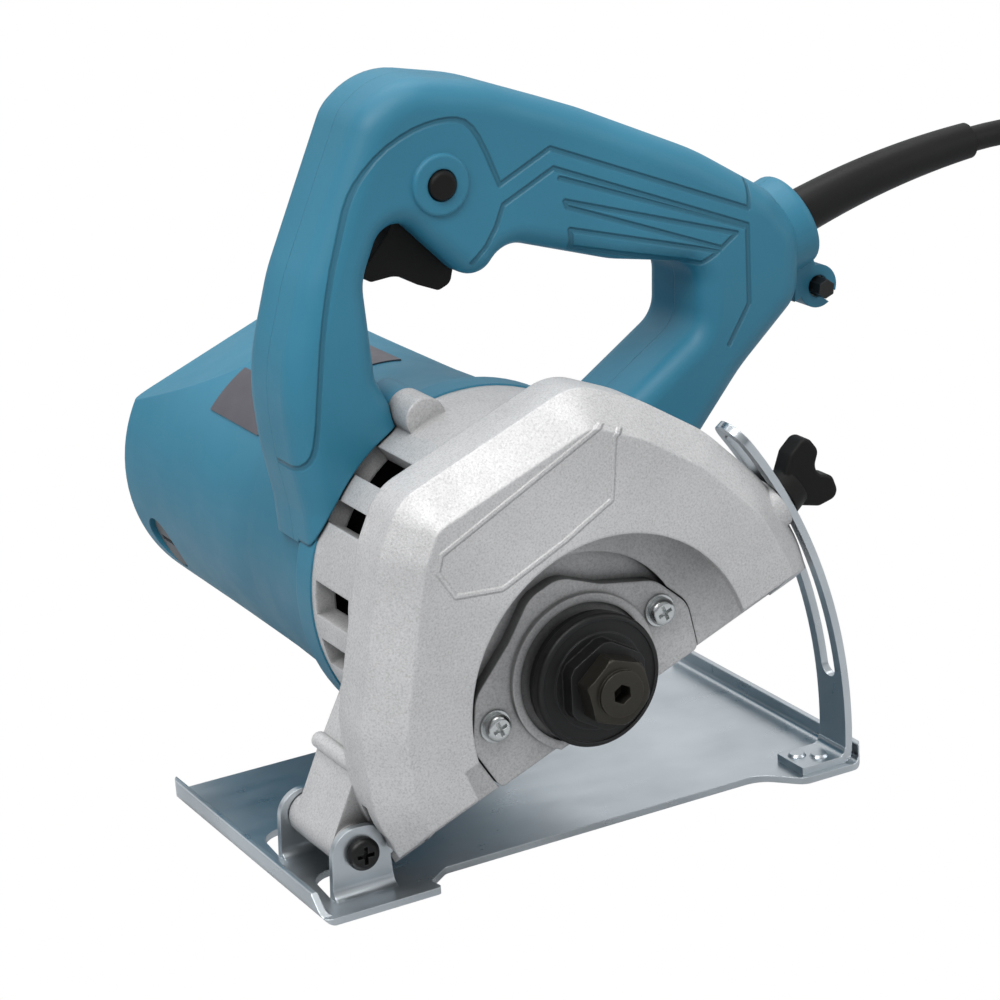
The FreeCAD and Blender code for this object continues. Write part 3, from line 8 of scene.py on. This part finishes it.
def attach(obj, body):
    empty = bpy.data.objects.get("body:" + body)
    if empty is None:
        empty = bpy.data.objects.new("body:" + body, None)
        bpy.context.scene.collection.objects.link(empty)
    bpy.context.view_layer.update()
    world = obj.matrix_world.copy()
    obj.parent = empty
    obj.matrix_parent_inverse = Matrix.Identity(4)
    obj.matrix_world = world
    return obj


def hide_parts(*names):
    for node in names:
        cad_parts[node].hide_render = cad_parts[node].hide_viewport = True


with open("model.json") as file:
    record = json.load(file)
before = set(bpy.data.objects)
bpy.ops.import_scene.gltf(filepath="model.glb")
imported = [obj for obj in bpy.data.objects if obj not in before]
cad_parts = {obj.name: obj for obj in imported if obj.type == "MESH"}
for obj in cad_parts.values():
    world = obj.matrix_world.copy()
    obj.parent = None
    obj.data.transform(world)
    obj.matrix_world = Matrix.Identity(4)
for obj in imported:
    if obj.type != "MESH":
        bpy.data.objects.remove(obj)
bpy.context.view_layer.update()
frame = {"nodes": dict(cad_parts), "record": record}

# ---- sizes, in metres ---------------------------------------------------------------
HINGE = Vector((-0.0693, 0.0, 0.0133))
PITCH = math.radians(21.3)          # rest tilt of the saw unit about the hinge
HANDLE_Y = 0.0105                   # middle of the handle, where the lead comes out

LEAD_D = 0.0076
LEAD_EXIT = (0.17130, HANDLE_Y, 0.15869)
LEAD_ROUTE = [LEAD_EXIT, (0.20968, HANDLE_Y, 0.16171), (0.250, HANDLE_Y, 0.136),
              (0.275, HANDLE_Y, 0.088), (0.296, HANDLE_Y, 0.040), (0.326, HANDLE_Y, 0.0092),
              (0.366, HANDLE_Y, 0.0044)]
LEAD_END_X = 0.361                  # the lead ends in the plug
LEAD_END_RUN = 0.008                # its last straight stretch before the plug

COIL_COLUMNS = 3
COIL_R = 0.040
COIL_TANGENT_R = COIL_R + LEAD_D * (COIL_COLUMNS - 1) / 2
COIL_CENTRE = Vector((0.3835, HANDLE_Y + COIL_TANGENT_R, 0.0))
COIL_LOW_Z = LEAD_D / 2
COIL_HIGH_Z = LEAD_D * 1.5
COIL_POINTS_PER_TURN = 16
COIL_STEP_SHARE = 0.16              # last part of a turn, where the lead moves to the next

# Shallow moulded grooves on the handle cover, in the level saw unit (x, z) in millimetres.
RIM_GROOVE = [(34.5, 89.0), (38.5, 85.5), (43.0, 84.6), (46.5, 86.2), (49.6, 90.0),
              (57.5, 104.2), (64.4, 115.9), (72.4, 127.2), (80.5, 136.5), (86.5, 143.2),
              (92.1, 147.3), (100.2, 150.7),
              (109.3, 151.4), (117.0, 150.2), (123.0, 147.9), (126.4, 144.6), (127.7, 138.0),
              (127.5, 124.7)]
RIM_TAIL = [(127.5, 124.7), (145.1, 125.8), (193.5, 77.7), (197.5, 83.6)]
GRIP_GROOVE = [(111.3, 109.6), (116.8, 111.6), (121.8, 115.0), (126.1, 119.2), (143.7, 120.3),
               (191.3, 73.5), (182.6, 52.4), (172.0, 45.0)]
BAR_GROOVES = [[(144.3, 116.8), (190.4, 73.5)],
               [(143.0, 110.2), (187.2, 73.2), (181.1, 71.9), (143.0, 108.3), (143.0, 110.2)],
               [(141.0, 102.3), (179.8, 71.6), (174.0, 70.9), (139.7, 97.1), (141.0, 102.3)]]
# Raised border of the wheel cover's front panel, in the same unit.
PANEL_BORDER = [(49.8, 56.3), (48.2, 65.1), (51.1, 68.8), (109.5, 74.2), (115.9, 71.2),
                (107.9, 68.9), (100.1, 53.9), (83.4, 51.6), (62.2, 50.4), (49.8, 56.3)]
COVER_FACE_Y = -0.0550              # the border shows only in front of this plane
LINE_HALF_WIDTH = 0.00075           # of a groove or of the border
LINE_FOOT = 1.35                    # a line's flank starts here, in half widths
LINE_CREST = 0.35                   # and ends here

CAMERA_AZIMUTH = math.radians(-27.64)
CAMERA_ELEVATION = math.radians(18.62)
CAMERA_ROLL = math.radians(-3.91)
CAMERA_PLACE = Vector((-0.3768, -0.7212, 0.3599))
CAMERA_LENS_MM = 111.0
CAMERA_SENSOR_MM = 36.0
CAMERA_NEAR = 0.01

# ---- look ---------------------------------------------------------------------------
MIX_FIRST, MIX_SECOND, MIX_RESULT = 6, 7, 2     # colour sockets of a Mix node
BEVEL_SAMPLES = 4
EDGE_TURN = 1.0 / 6.0               # drop of the normals' dot product at a full edge
RELIEF_DEPTH = 0.0006
TEXTURE_DEPTH = 0.0002
MOULDED_WEAR = 0.12
BORDER_HEIGHT = 0.8

TEAL = (0.026, 0.178, 0.275)
BLACK_PLASTIC = (0.007, 0.0068, 0.0062)
SPARK = (0.86, 0.86, 0.87)          # bright grains of the casting
RUBBED_CAST = (0.85, 0.85, 0.86)    # its worn edges

FLOOR_REACH = 6.0
FLOOR_Z = -0.0004                   # just under the plate, so the two don't flicker
FLOOR_COLOUR = (0.45, 0.46, 0.47, 1)
ROOM_BOTTOM = (0.10, 0.11, 0.12, 1)
ROOM_MIDDLE = (0.74, 0.76, 0.78, 1)
ROOM_MIDDLE_HEIGHT = 0.30
ROOM_TOP = (0.50, 0.50, 0.50, 1)
LIGHTS_AIM = (0.0, 0.0, 0.08)


# ---- camera -------------------------------------------------------------------------
def make_camera():
    a = CAMERA_AZIMUTH
    e = CAMERA_ELEVATION
    right = Vector((math.cos(a), math.sin(a), 0))
    back = Vector((math.sin(a) * math.cos(e), -math.cos(a) * math.cos(e), math.sin(e)))
    up = back.cross(right)
    turned_right = math.cos(CAMERA_ROLL) * right + math.sin(CAMERA_ROLL) * up
    turned_up = math.cos(CAMERA_ROLL) * up - math.sin(CAMERA_ROLL) * right
    data = bpy.data.cameras.new("camera")
    data.lens = CAMERA_LENS_MM
    data.sensor_width = CAMERA_SENSOR_MM
    data.clip_start = CAMERA_NEAR
    camera = bpy.data.objects.new("camera", data)
    camera.matrix_world = Matrix((
        (turned_right.x, turned_up.x, back.x, CAMERA_PLACE.x),
        (turned_right.y, turned_up.y, back.y, CAMERA_PLACE.y),
        (turned_right.z, turned_up.z, back.z, CAMERA_PLACE.z),
        (0, 0, 0, 1)))
    bpy.context.scene.collection.objects.link(camera)
    bpy.context.scene.camera = camera


# ---- mains lead ---------------------------------------------------------------------
def coil_points():
    """Turns of the put-away lead: out to in on the floor, in to out on top, then a half."""
    radii = [COIL_TANGENT_R - LEAD_D * i for i in range(COIL_COLUMNS)]
    whole_turns = [(radius, COIL_LOW_Z) for radius in radii]
    whole_turns += [(radius, COIL_HIGH_Z) for radius in reversed(radii)]
    stops = whole_turns + [(COIL_TANGENT_R, COIL_HIGH_Z)]
    points = []
    for turn, (radius, level) in enumerate(stops):
        next_radius, next_level = stops[min(turn + 1, len(stops) - 1)]
        steps = COIL_POINTS_PER_TURN
        if turn == len(whole_turns):
            steps //= 2
        for step in range(steps):
            share = step / COIL_POINTS_PER_TURN
            ease = max(0.0, (share - 1 + COIL_STEP_SHARE) / COIL_STEP_SHARE)
            ease = ease * ease * (3 - 2 * ease)
            r = radius + (next_radius - radius) * ease
            z = level + (next_level - level) * ease
            angle = -math.pi / 2 + 2 * math.pi * share
            points.append((COIL_CENTRE.x + r * math.cos(angle),
                           COIL_CENTRE.y + r * math.sin(angle), z))
    return points


def make_lead(material):
    end_y = COIL_CENTRE.y + COIL_TANGENT_R
    points = LEAD_ROUTE + coil_points()
    for x in (COIL_CENTRE.x, LEAD_END_X + LEAD_END_RUN, LEAD_END_X):
        points.append((x, end_y, COIL_HIGH_Z))
    data = bpy.data.curves.new("lead", "CURVE")
    data.dimensions = "3D"
    data.bevel_depth = LEAD_D / 2
    data.bevel_resolution = 6
    data.resolution_u = 10
    data.use_fill_caps = True
    spline = data.splines.new("NURBS")
    spline.points.add(len(points) - 1)
    for i, point in enumerate(points):
        spline.points[i].co = (*point, 1.0)
    spline.order_u = 3
    spline.use_endpoint_u = True
    lead = bpy.data.objects.new("lead", data)
    bpy.context.scene.collection.objects.link(lead)
    lead.data.materials.append(material)
    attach(lead, "saw_body")
    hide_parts("lead_tube", "lead_coil")


# ---- material kit -------------------------------------------------------------------
class Nodes:
    """Small helper that adds and links shader nodes for one material."""

    def __init__(self, name):
        self.material = bpy.data.materials.new(name)
        self.material.use_nodes = True
        self.tree = self.material.node_tree
        self.tree.nodes.clear()
        self.shader = self.tree.nodes.new("ShaderNodeBsdfPrincipled")
        self.output = self.tree.nodes.new("ShaderNodeOutputMaterial")
        self.link(self.shader.outputs["BSDF"], self.output.inputs["Surface"])
        coordinates = self.tree.nodes.new("ShaderNodeTexCoord")
        self.place = coordinates.outputs["Object"]

    def link(self, source, target):
        self.tree.links.new(source, target)

    def set(self, **values):
        for key, value in values.items():
            self.shader.inputs[key.replace("_", " ")].default_value = value

    def noise(self, scale, detail, roughness=0.5, stretch=(1, 1, 1)):
        mapping = self.tree.nodes.new("ShaderNodeMapping")
        mapping.inputs["Scale"].default_value = stretch
        self.link(self.place, mapping.inputs["Vector"])
        node = self.tree.nodes.new("ShaderNodeTexNoise")
        node.inputs["Scale"].default_value = scale
        node.inputs["Detail"].default_value = detail
        node.inputs["Roughness"].default_value = roughness
        self.link(mapping.outputs["Vector"], node.inputs["Vector"])
        return node.outputs["Fac"]

    def span(self, value, low, high, from_low=0.3, from_high=0.7, curve="LINEAR"):
        node = self.tree.nodes.new("ShaderNodeMapRange")
        node.interpolation_type = curve
        node.inputs["From Min"].default_value = from_low
        node.inputs["From Max"].default_value = from_high
        node.inputs["To Min"].default_value = low
        node.inputs["To Max"].default_value = high
        self.link(value, node.inputs["Value"])
        return node.outputs["Result"]

    def mix(self, share, first, second):
        node = self.tree.nodes.new("ShaderNodeMix")
        node.data_type = "RGBA"
        for index, value in ((MIX_FIRST, first), (MIX_SECOND, second)):
            if isinstance(value, tuple):
                node.inputs[index].default_value = (*value, 1.0)
            else:
                self.link(value, node.inputs[index])
        self.link(share, node.inputs[0])
        return node.outputs[MIX_RESULT]

    def maths(self, operation, first, second):
        node = self.tree.nodes.new("ShaderNodeMath")
        node.operation = operation
        self.link(first, node.inputs[0])
        if isinstance(second, (int, float)):
            node.inputs[1].default_value = second
        else:
            self.link(second, node.inputs[1])
        return node.outputs[0]

    def vector(self, operation, first, second=None, scale=None):
        node = self.tree.nodes.new("ShaderNodeVectorMath")
        node.operation = operation
        self.link(first, node.inputs[0])
        if isinstance(second, tuple):
            node.inputs[1].default_value = second
        elif second is not None:
            self.link(second, node.inputs[1])
        if scale is not None:
            self.link(scale, node.inputs["Scale"])
        return node.outputs["Value" if operation in ("DOT_PRODUCT", "LENGTH") else "Vector"]

    def near_lines(self, paths):
        """High close to any of several open paths seen along y, low away from them."""
        flat = self.vector("MULTIPLY", self.place, (1, 0, 1))
        nearest = None
        for path in paths:
            for start, end in zip(path[:-1], path[1:]):
                run = Vector(end) - Vector(start)
                offset = self.vector("SUBTRACT", flat, start)
                along = self.vector("DOT_PRODUCT", offset, tuple(run / run.length_squared))
                share = self.maths("MAXIMUM", self.maths("MINIMUM", along, 1.0), 0.0)
                whole = self.tree.nodes.new("ShaderNodeCombineXYZ")
                for axis in range(3):
                    whole.inputs[axis].default_value = run[axis]
                foot = self.vector("SCALE", whole.outputs[0], scale=share)
                gap = self.vector("LENGTH", self.vector("SUBTRACT", offset, foot))
                nearest = gap if nearest is None else self.maths("MINIMUM", nearest, gap)
        return self.span(nearest, 0.0, 1.0, LINE_HALF_WIDTH * LINE_FOOT,
                         LINE_HALF_WIDTH * LINE_CREST, "SMOOTHSTEP")

    def bevelled_normal(self, radius):
        bevel = self.tree.nodes.new("ShaderNodeBevel")
        bevel.samples = BEVEL_SAMPLES
        bevel.inputs["Radius"].default_value = radius
        return bevel.outputs["Normal"]

    def edge_mask(self, radius):
        """High where the surface turns sharply within a radius."""
        geometry = self.tree.nodes.new("ShaderNodeNewGeometry")
        likeness = self.vector("DOT_PRODUCT", self.bevelled_normal(radius),
                               geometry.outputs["Normal"])
        return self.span(likeness, 0.0, 1.0, 1.0, 1.0 - EDGE_TURN)

    def bump(self, height, strength, distance, bevel_radius):
        """Relief on the surface, with the edges rounded off too where a radius is given."""
        node = self.tree.nodes.new("ShaderNodeBump")
        node.inputs["Strength"].default_value = strength
        node.inputs["Distance"].default_value = distance
        self.link(height, node.inputs["Height"])
        if bevel_radius > 0:
            self.link(self.bevelled_normal(bevel_radius), node.inputs["Normal"])
        self.link(node.outputs["Normal"], self.shader.inputs["Normal"])


def shaded(colour, factor, lift=0.0):
    return tuple(min(1.0, channel * factor + lift) for channel in colour)


def level_point(x, z):
    """Place in the level saw unit, in millimetres, as a point of the tilted rest pose."""
    x, z = x / 1000, z / 1000
    return (HINGE.x + x * math.cos(PITCH) - z * math.sin(PITCH), 0.0,
            HINGE.z + x * math.sin(PITCH) + z * math.cos(PITCH))


def softened(path):
    """The same path with each inner corner cut off once."""
    soft = [path[0]]
    for start, end in zip(path[:-1], path[1:]):
        soft.append(tuple(Vector(start).lerp(Vector(end), 0.25)))
        soft.append(tuple(Vector(start).lerp(Vector(end), 0.75)))
    return soft[:1] + soft[2:-1] + [path[-1]]


def moulded(name, colour, rough, grain=2600, bevel=0.0007, grooves=(), gloss=0.42):
    """Fine-grained moulded plastic or rubber with softened, slightly polished edges; any
    grooves are sunk and carry painted shade.
    """
    n = Nodes(name)
    cloud = n.span(n.noise(14, detail=2), 0, 1)
    body = n.mix(cloud, shaded(colour, 0.90), shaded(colour, 1.10, lift=0.003))
    wear = n.maths("MULTIPLY", n.edge_mask(0.0012), MOULDED_WEAR)
    surface = n.mix(wear, body, shaded(colour, 1.35, lift=0.02))
    height = n.maths("MULTIPLY", n.noise(grain, detail=2), 0.05)
    if grooves:
        groove = n.near_lines(grooves)
        # The grooves are painted darker as well as sunk by the bump: this is painted shade in
        # the recesses.
        groove_painted_shade = n.maths("MULTIPLY", groove, 0.45)
        surface = n.mix(groove_painted_shade, surface, shaded(colour, 0.30))
        height = n.maths("SUBTRACT", height, groove)
    n.link(surface, n.shader.inputs["Base Color"])
    uneven = n.noise(60, detail=3)
    n.link(n.span(uneven, rough - 0.05, rough + 0.07), n.shader.inputs["Roughness"])
    n.bump(height, 0.9, RELIEF_DEPTH, bevel)
    n.set(Specular_IOR_Level=gloss)
    return n.material


def metal(name, colour, rough, metallic=1.0, grain=900, strength=0.10, spread=0.08,
          stretch=(1, 1, 1), bevel=0.0004, wear=0.25, worn=None):
    """Metal with colour drift, uneven gloss, fine texture and brighter edges."""
    n = Nodes(name)
    drift = n.span(n.noise(30, detail=4), 0, 1)
    body = n.mix(drift, shaded(colour, 0.86), shaded(colour, 1.10))
    rubbed = n.maths("MULTIPLY", n.edge_mask(0.0007), wear)
    surface = n.mix(rubbed, body, worn or shaded(colour, 1.4, lift=0.05))
    n.link(surface, n.shader.inputs["Base Color"])
    uneven = n.noise(90, detail=4, stretch=stretch)
    n.link(n.span(uneven, max(0.05, rough - spread), rough + spread),
           n.shader.inputs["Roughness"])
    n.set(Metallic=metallic)
    n.bump(n.noise(grain, detail=3, stretch=stretch), strength, TEXTURE_DEPTH, bevel)
    return n.material


def cast_metal(name, colour, border):
    """Shot-blasted die casting: dull, grainy, with painted shade darkening it where walls
    close in.
    """
    n = Nodes(name)
    cloud = n.span(n.noise(22, detail=5, roughness=0.6), 0, 1)
    body = n.mix(cloud, shaded(colour, 0.86), shaded(colour, 1.08))
    speck = n.noise(1750, detail=3, roughness=0.7)
    pits = n.maths("MULTIPLY", n.span(speck, 0, 1, 0.50, 0.66), 0.42)
    surface = n.mix(pits, body, shaded(colour, 0.45))
    sparks = n.maths("MULTIPLY", n.span(speck, 1, 0, 0.30, 0.46), 0.32)
    surface = n.mix(sparks, surface, SPARK)
    rubbed = n.maths("MULTIPLY", n.edge_mask(0.0010), 0.35)
    surface = n.mix(rubbed, surface, RUBBED_CAST)
    # Painted shade: an ambient occlusion node darkens the casting's colour to near black in
    # crevices and enclosed chambers.
    shade = n.tree.nodes.new("ShaderNodeAmbientOcclusion")
    shade.samples = 8
    shade.inputs["Distance"].default_value = 0.016
    outside_painted_shade = n.span(shade.outputs["AO"], 0.0, 1.0, 0.10, 0.75)
    n.link(n.mix(outside_painted_shade, shaded(colour, 0.13), surface), n.shader.inputs["Base Color"])
    n.link(n.span(n.noise(120, detail=4), 0.46, 0.60), n.shader.inputs["Roughness"])
    n.set(Metallic=0.4)
    split = n.tree.nodes.new("ShaderNodeSeparateXYZ")
    n.link(n.place, split.inputs[0])
    front = n.maths("LESS_THAN", split.outputs["Y"], COVER_FACE_Y)
    ridge = n.maths("MULTIPLY", n.near_lines(border), front)
    height = n.maths("ADD", n.maths("MULTIPLY", speck, 0.24),
                     n.maths("MULTIPLY", ridge, BORDER_HEIGHT))
    n.bump(height, 0.9, RELIEF_DEPTH, 0.0011)
    return n.material


def make_materials():
    paths = [softened(RIM_GROOVE), RIM_TAIL, GRIP_GROOVE] + BAR_GROOVES
    grooves = [[level_point(*corner) for corner in path] for path in paths]
    border = [[level_point(*corner) for corner in PANEL_BORDER]]
    return {
        "teal_plastic": moulded("teal_plastic", TEAL, 0.46),
        "teal_grooved": moulded("teal_grooved", TEAL, 0.46, grooves=grooves),
        "cast_aluminium": cast_metal("cast_aluminium", (0.625, 0.62, 0.62), border),
        "zinc_steel": metal("zinc_steel", (0.59, 0.635, 0.665), 0.30, grain=420,
                            stretch=(0.6, 1.6, 1), strength=0.03, spread=0.035),
        "bright_zinc": metal("bright_zinc", (0.66, 0.68, 0.68), 0.25),
        "black_screw": metal("black_screw", (0.03, 0.03, 0.03), 0.38, 0.85, wear=0.3),
        "ground_steel": metal("ground_steel", (0.55, 0.55, 0.55), 0.28,
                              stretch=(1, 12, 1)),
        "black_oxide": metal("black_oxide", (0.031, 0.031, 0.031), 0.46, 0.75,
                             strength=0.16, wear=0.22, worn=(0.16, 0.16, 0.17)),
        "olive_bolt": metal("olive_bolt", (0.046, 0.043, 0.036), 0.42, 0.8,
                            strength=0.16, wear=0.3, worn=(0.13, 0.12, 0.10)),
        "lamination_steel": metal("lamination_steel", (0.20, 0.20, 0.21), 0.45,
                                  stretch=(1, 30, 1), strength=0.3),
        "copper_winding": metal("copper_winding", (0.45, 0.15, 0.06), 0.35,
                                stretch=(1, 1, 8), strength=0.4),
        "commutator_copper": metal("commutator_copper", (0.55, 0.26, 0.13), 0.3),
        "brush_brass": metal("brush_brass", (0.62, 0.46, 0.20), 0.3),
        "carbon": moulded("carbon", (0.03, 0.03, 0.032), 0.6),
        "grey_cap": moulded("grey_cap", (0.085, 0.09, 0.095), 0.48),
        "black_plastic": moulded("black_plastic", BLACK_PLASTIC, 0.46, gloss=0.16),
        "black_plastic_metal": moulded("black_plastic_metal", BLACK_PLASTIC, 0.46,
                                       gloss=0.16),
        "label_film": metal("label_film", (0.075, 0.070, 0.085), 0.35, 0.1, bevel=0.0,
                            strength=0.02, wear=0.05),
        "black_rubber": moulded("black_rubber", (0.009, 0.0088, 0.009), 0.44, grain=1800,
                                gloss=0.18),
        "lead_rubber": moulded("lead_rubber", (0.010, 0.0098, 0.010), 0.44, grain=1500,
                               gloss=0.2, bevel=0.0),
        "bright_pin": metal("bright_pin", (0.72, 0.70, 0.62), 0.2),
    }


def dress_nodes(materials):
    """Gives each CAD piece its slot's material; only the handle cover has the grooves."""
    for part in frame["record"]["subparts"]:
        node = frame["nodes"][part["node"]]
        node.data.materials.clear()
        slot = "teal_grooved" if part["node"] == "handle_cover" else part["material_slot"]
        node.data.materials.append(materials[slot])


# ---- studio -------------------------------------------------------------------------
def white_to_camera(tree, shader):
    """Shows plain white to the camera while lighting the object as the shader says."""
    path = tree.nodes.new("ShaderNodeLightPath")
    white = tree.nodes.new("ShaderNodeEmission")
    mixed = tree.nodes.new("ShaderNodeMixShader")
    tree.links.new(path.outputs["Is Camera Ray"], mixed.inputs[0])
    tree.links.new(shader, mixed.inputs[1])
    tree.links.new(white.outputs[0], mixed.inputs[2])
    return mixed.outputs[0]


def make_floor():
    mesh = bpy.data.meshes.new("floor")
    r = FLOOR_REACH
    mesh.from_pydata([(-r, -r, 0), (r, -r, 0), (r, r, 0), (-r, r, 0)], [], [(0, 1, 2, 3)])
    floor = bpy.data.objects.new("floor", mesh)
    floor.location.z = FLOOR_Z
    bpy.context.scene.collection.objects.link(floor)
    n = Nodes("floor_white")
    n.set(Base_Color=FLOOR_COLOUR, Roughness=0.6)
    n.link(white_to_camera(n.tree, n.shader.outputs["BSDF"]), n.output.inputs["Surface"])
    floor.data.materials.append(n.material)


def area_light(name, place, size, power):
    data = bpy.data.lights.new(name, "AREA")
    data.shape = "RECTANGLE"
    data.size, data.size_y = size
    data.energy = power
    light = bpy.data.objects.new(name, data)
    light.location = place
    direction = Vector(LIGHTS_AIM) - Vector(place)
    light.rotation_euler = direction.to_track_quat("-Z", "Y").to_euler()
    bpy.context.scene.collection.objects.link(light)


def make_world():
    """Soft room: dark up to the horizon, brightest just above it, white to the camera."""
    world = bpy.data.worlds.new("studio")
    world.use_nodes = True
    tree = world.node_tree
    background = tree.nodes["Background"]
    out = next(node for node in tree.nodes if node.type == "OUTPUT_WORLD")
    coordinates = tree.nodes.new("ShaderNodeTexCoord")
    split = tree.nodes.new("ShaderNodeSeparateXYZ")
    tree.links.new(coordinates.outputs["Generated"], split.inputs[0])
    ramp = tree.nodes.new("ShaderNodeValToRGB")
    ramp.color_ramp.elements[0].color = ROOM_BOTTOM
    ramp.color_ramp.elements[1].color = ROOM_TOP
    middle = ramp.color_ramp.elements.new(ROOM_MIDDLE_HEIGHT)
    middle.color = ROOM_MIDDLE
    tree.links.new(split.outputs["Z"], ramp.inputs[0])
    side = tree.nodes.new("ShaderNodeMapRange")
    side.inputs["From Min"].default_value = -1.0
    side.inputs["From Max"].default_value = 0.4
    side.inputs["To Min"].default_value = 0.60
    side.inputs["To Max"].default_value = 1.12
    tree.links.new(split.outputs["Y"], side.inputs["Value"])
    tree.links.new(side.outputs["Result"], background.inputs["Strength"])
    tree.links.new(ramp.outputs[0], background.inputs["Color"])
    tree.links.new(white_to_camera(tree, background.outputs[0]), out.inputs["Surface"])
    bpy.context.scene.world = world


def make_studio():
    make_floor()
    make_world()
    area_light("key", (-0.75, -0.45, 1.05), (0.7, 0.5), 8.0)
    area_light("top", (0.15, 0.35, 1.2), (1.0, 0.7), 6.0)
    area_light("front_top", (-0.1, -0.6, 1.35), (0.7, 0.5), 6.0)
    area_light("side", (0.95, -0.75, 0.45), (0.4, 0.9), 2.0)
    bpy.context.scene.view_settings.view_transform = "Standard"


make_camera()
materials = make_materials()
make_lead(materials["lead_rubber"])
dress_nodes(materials)
make_studio()
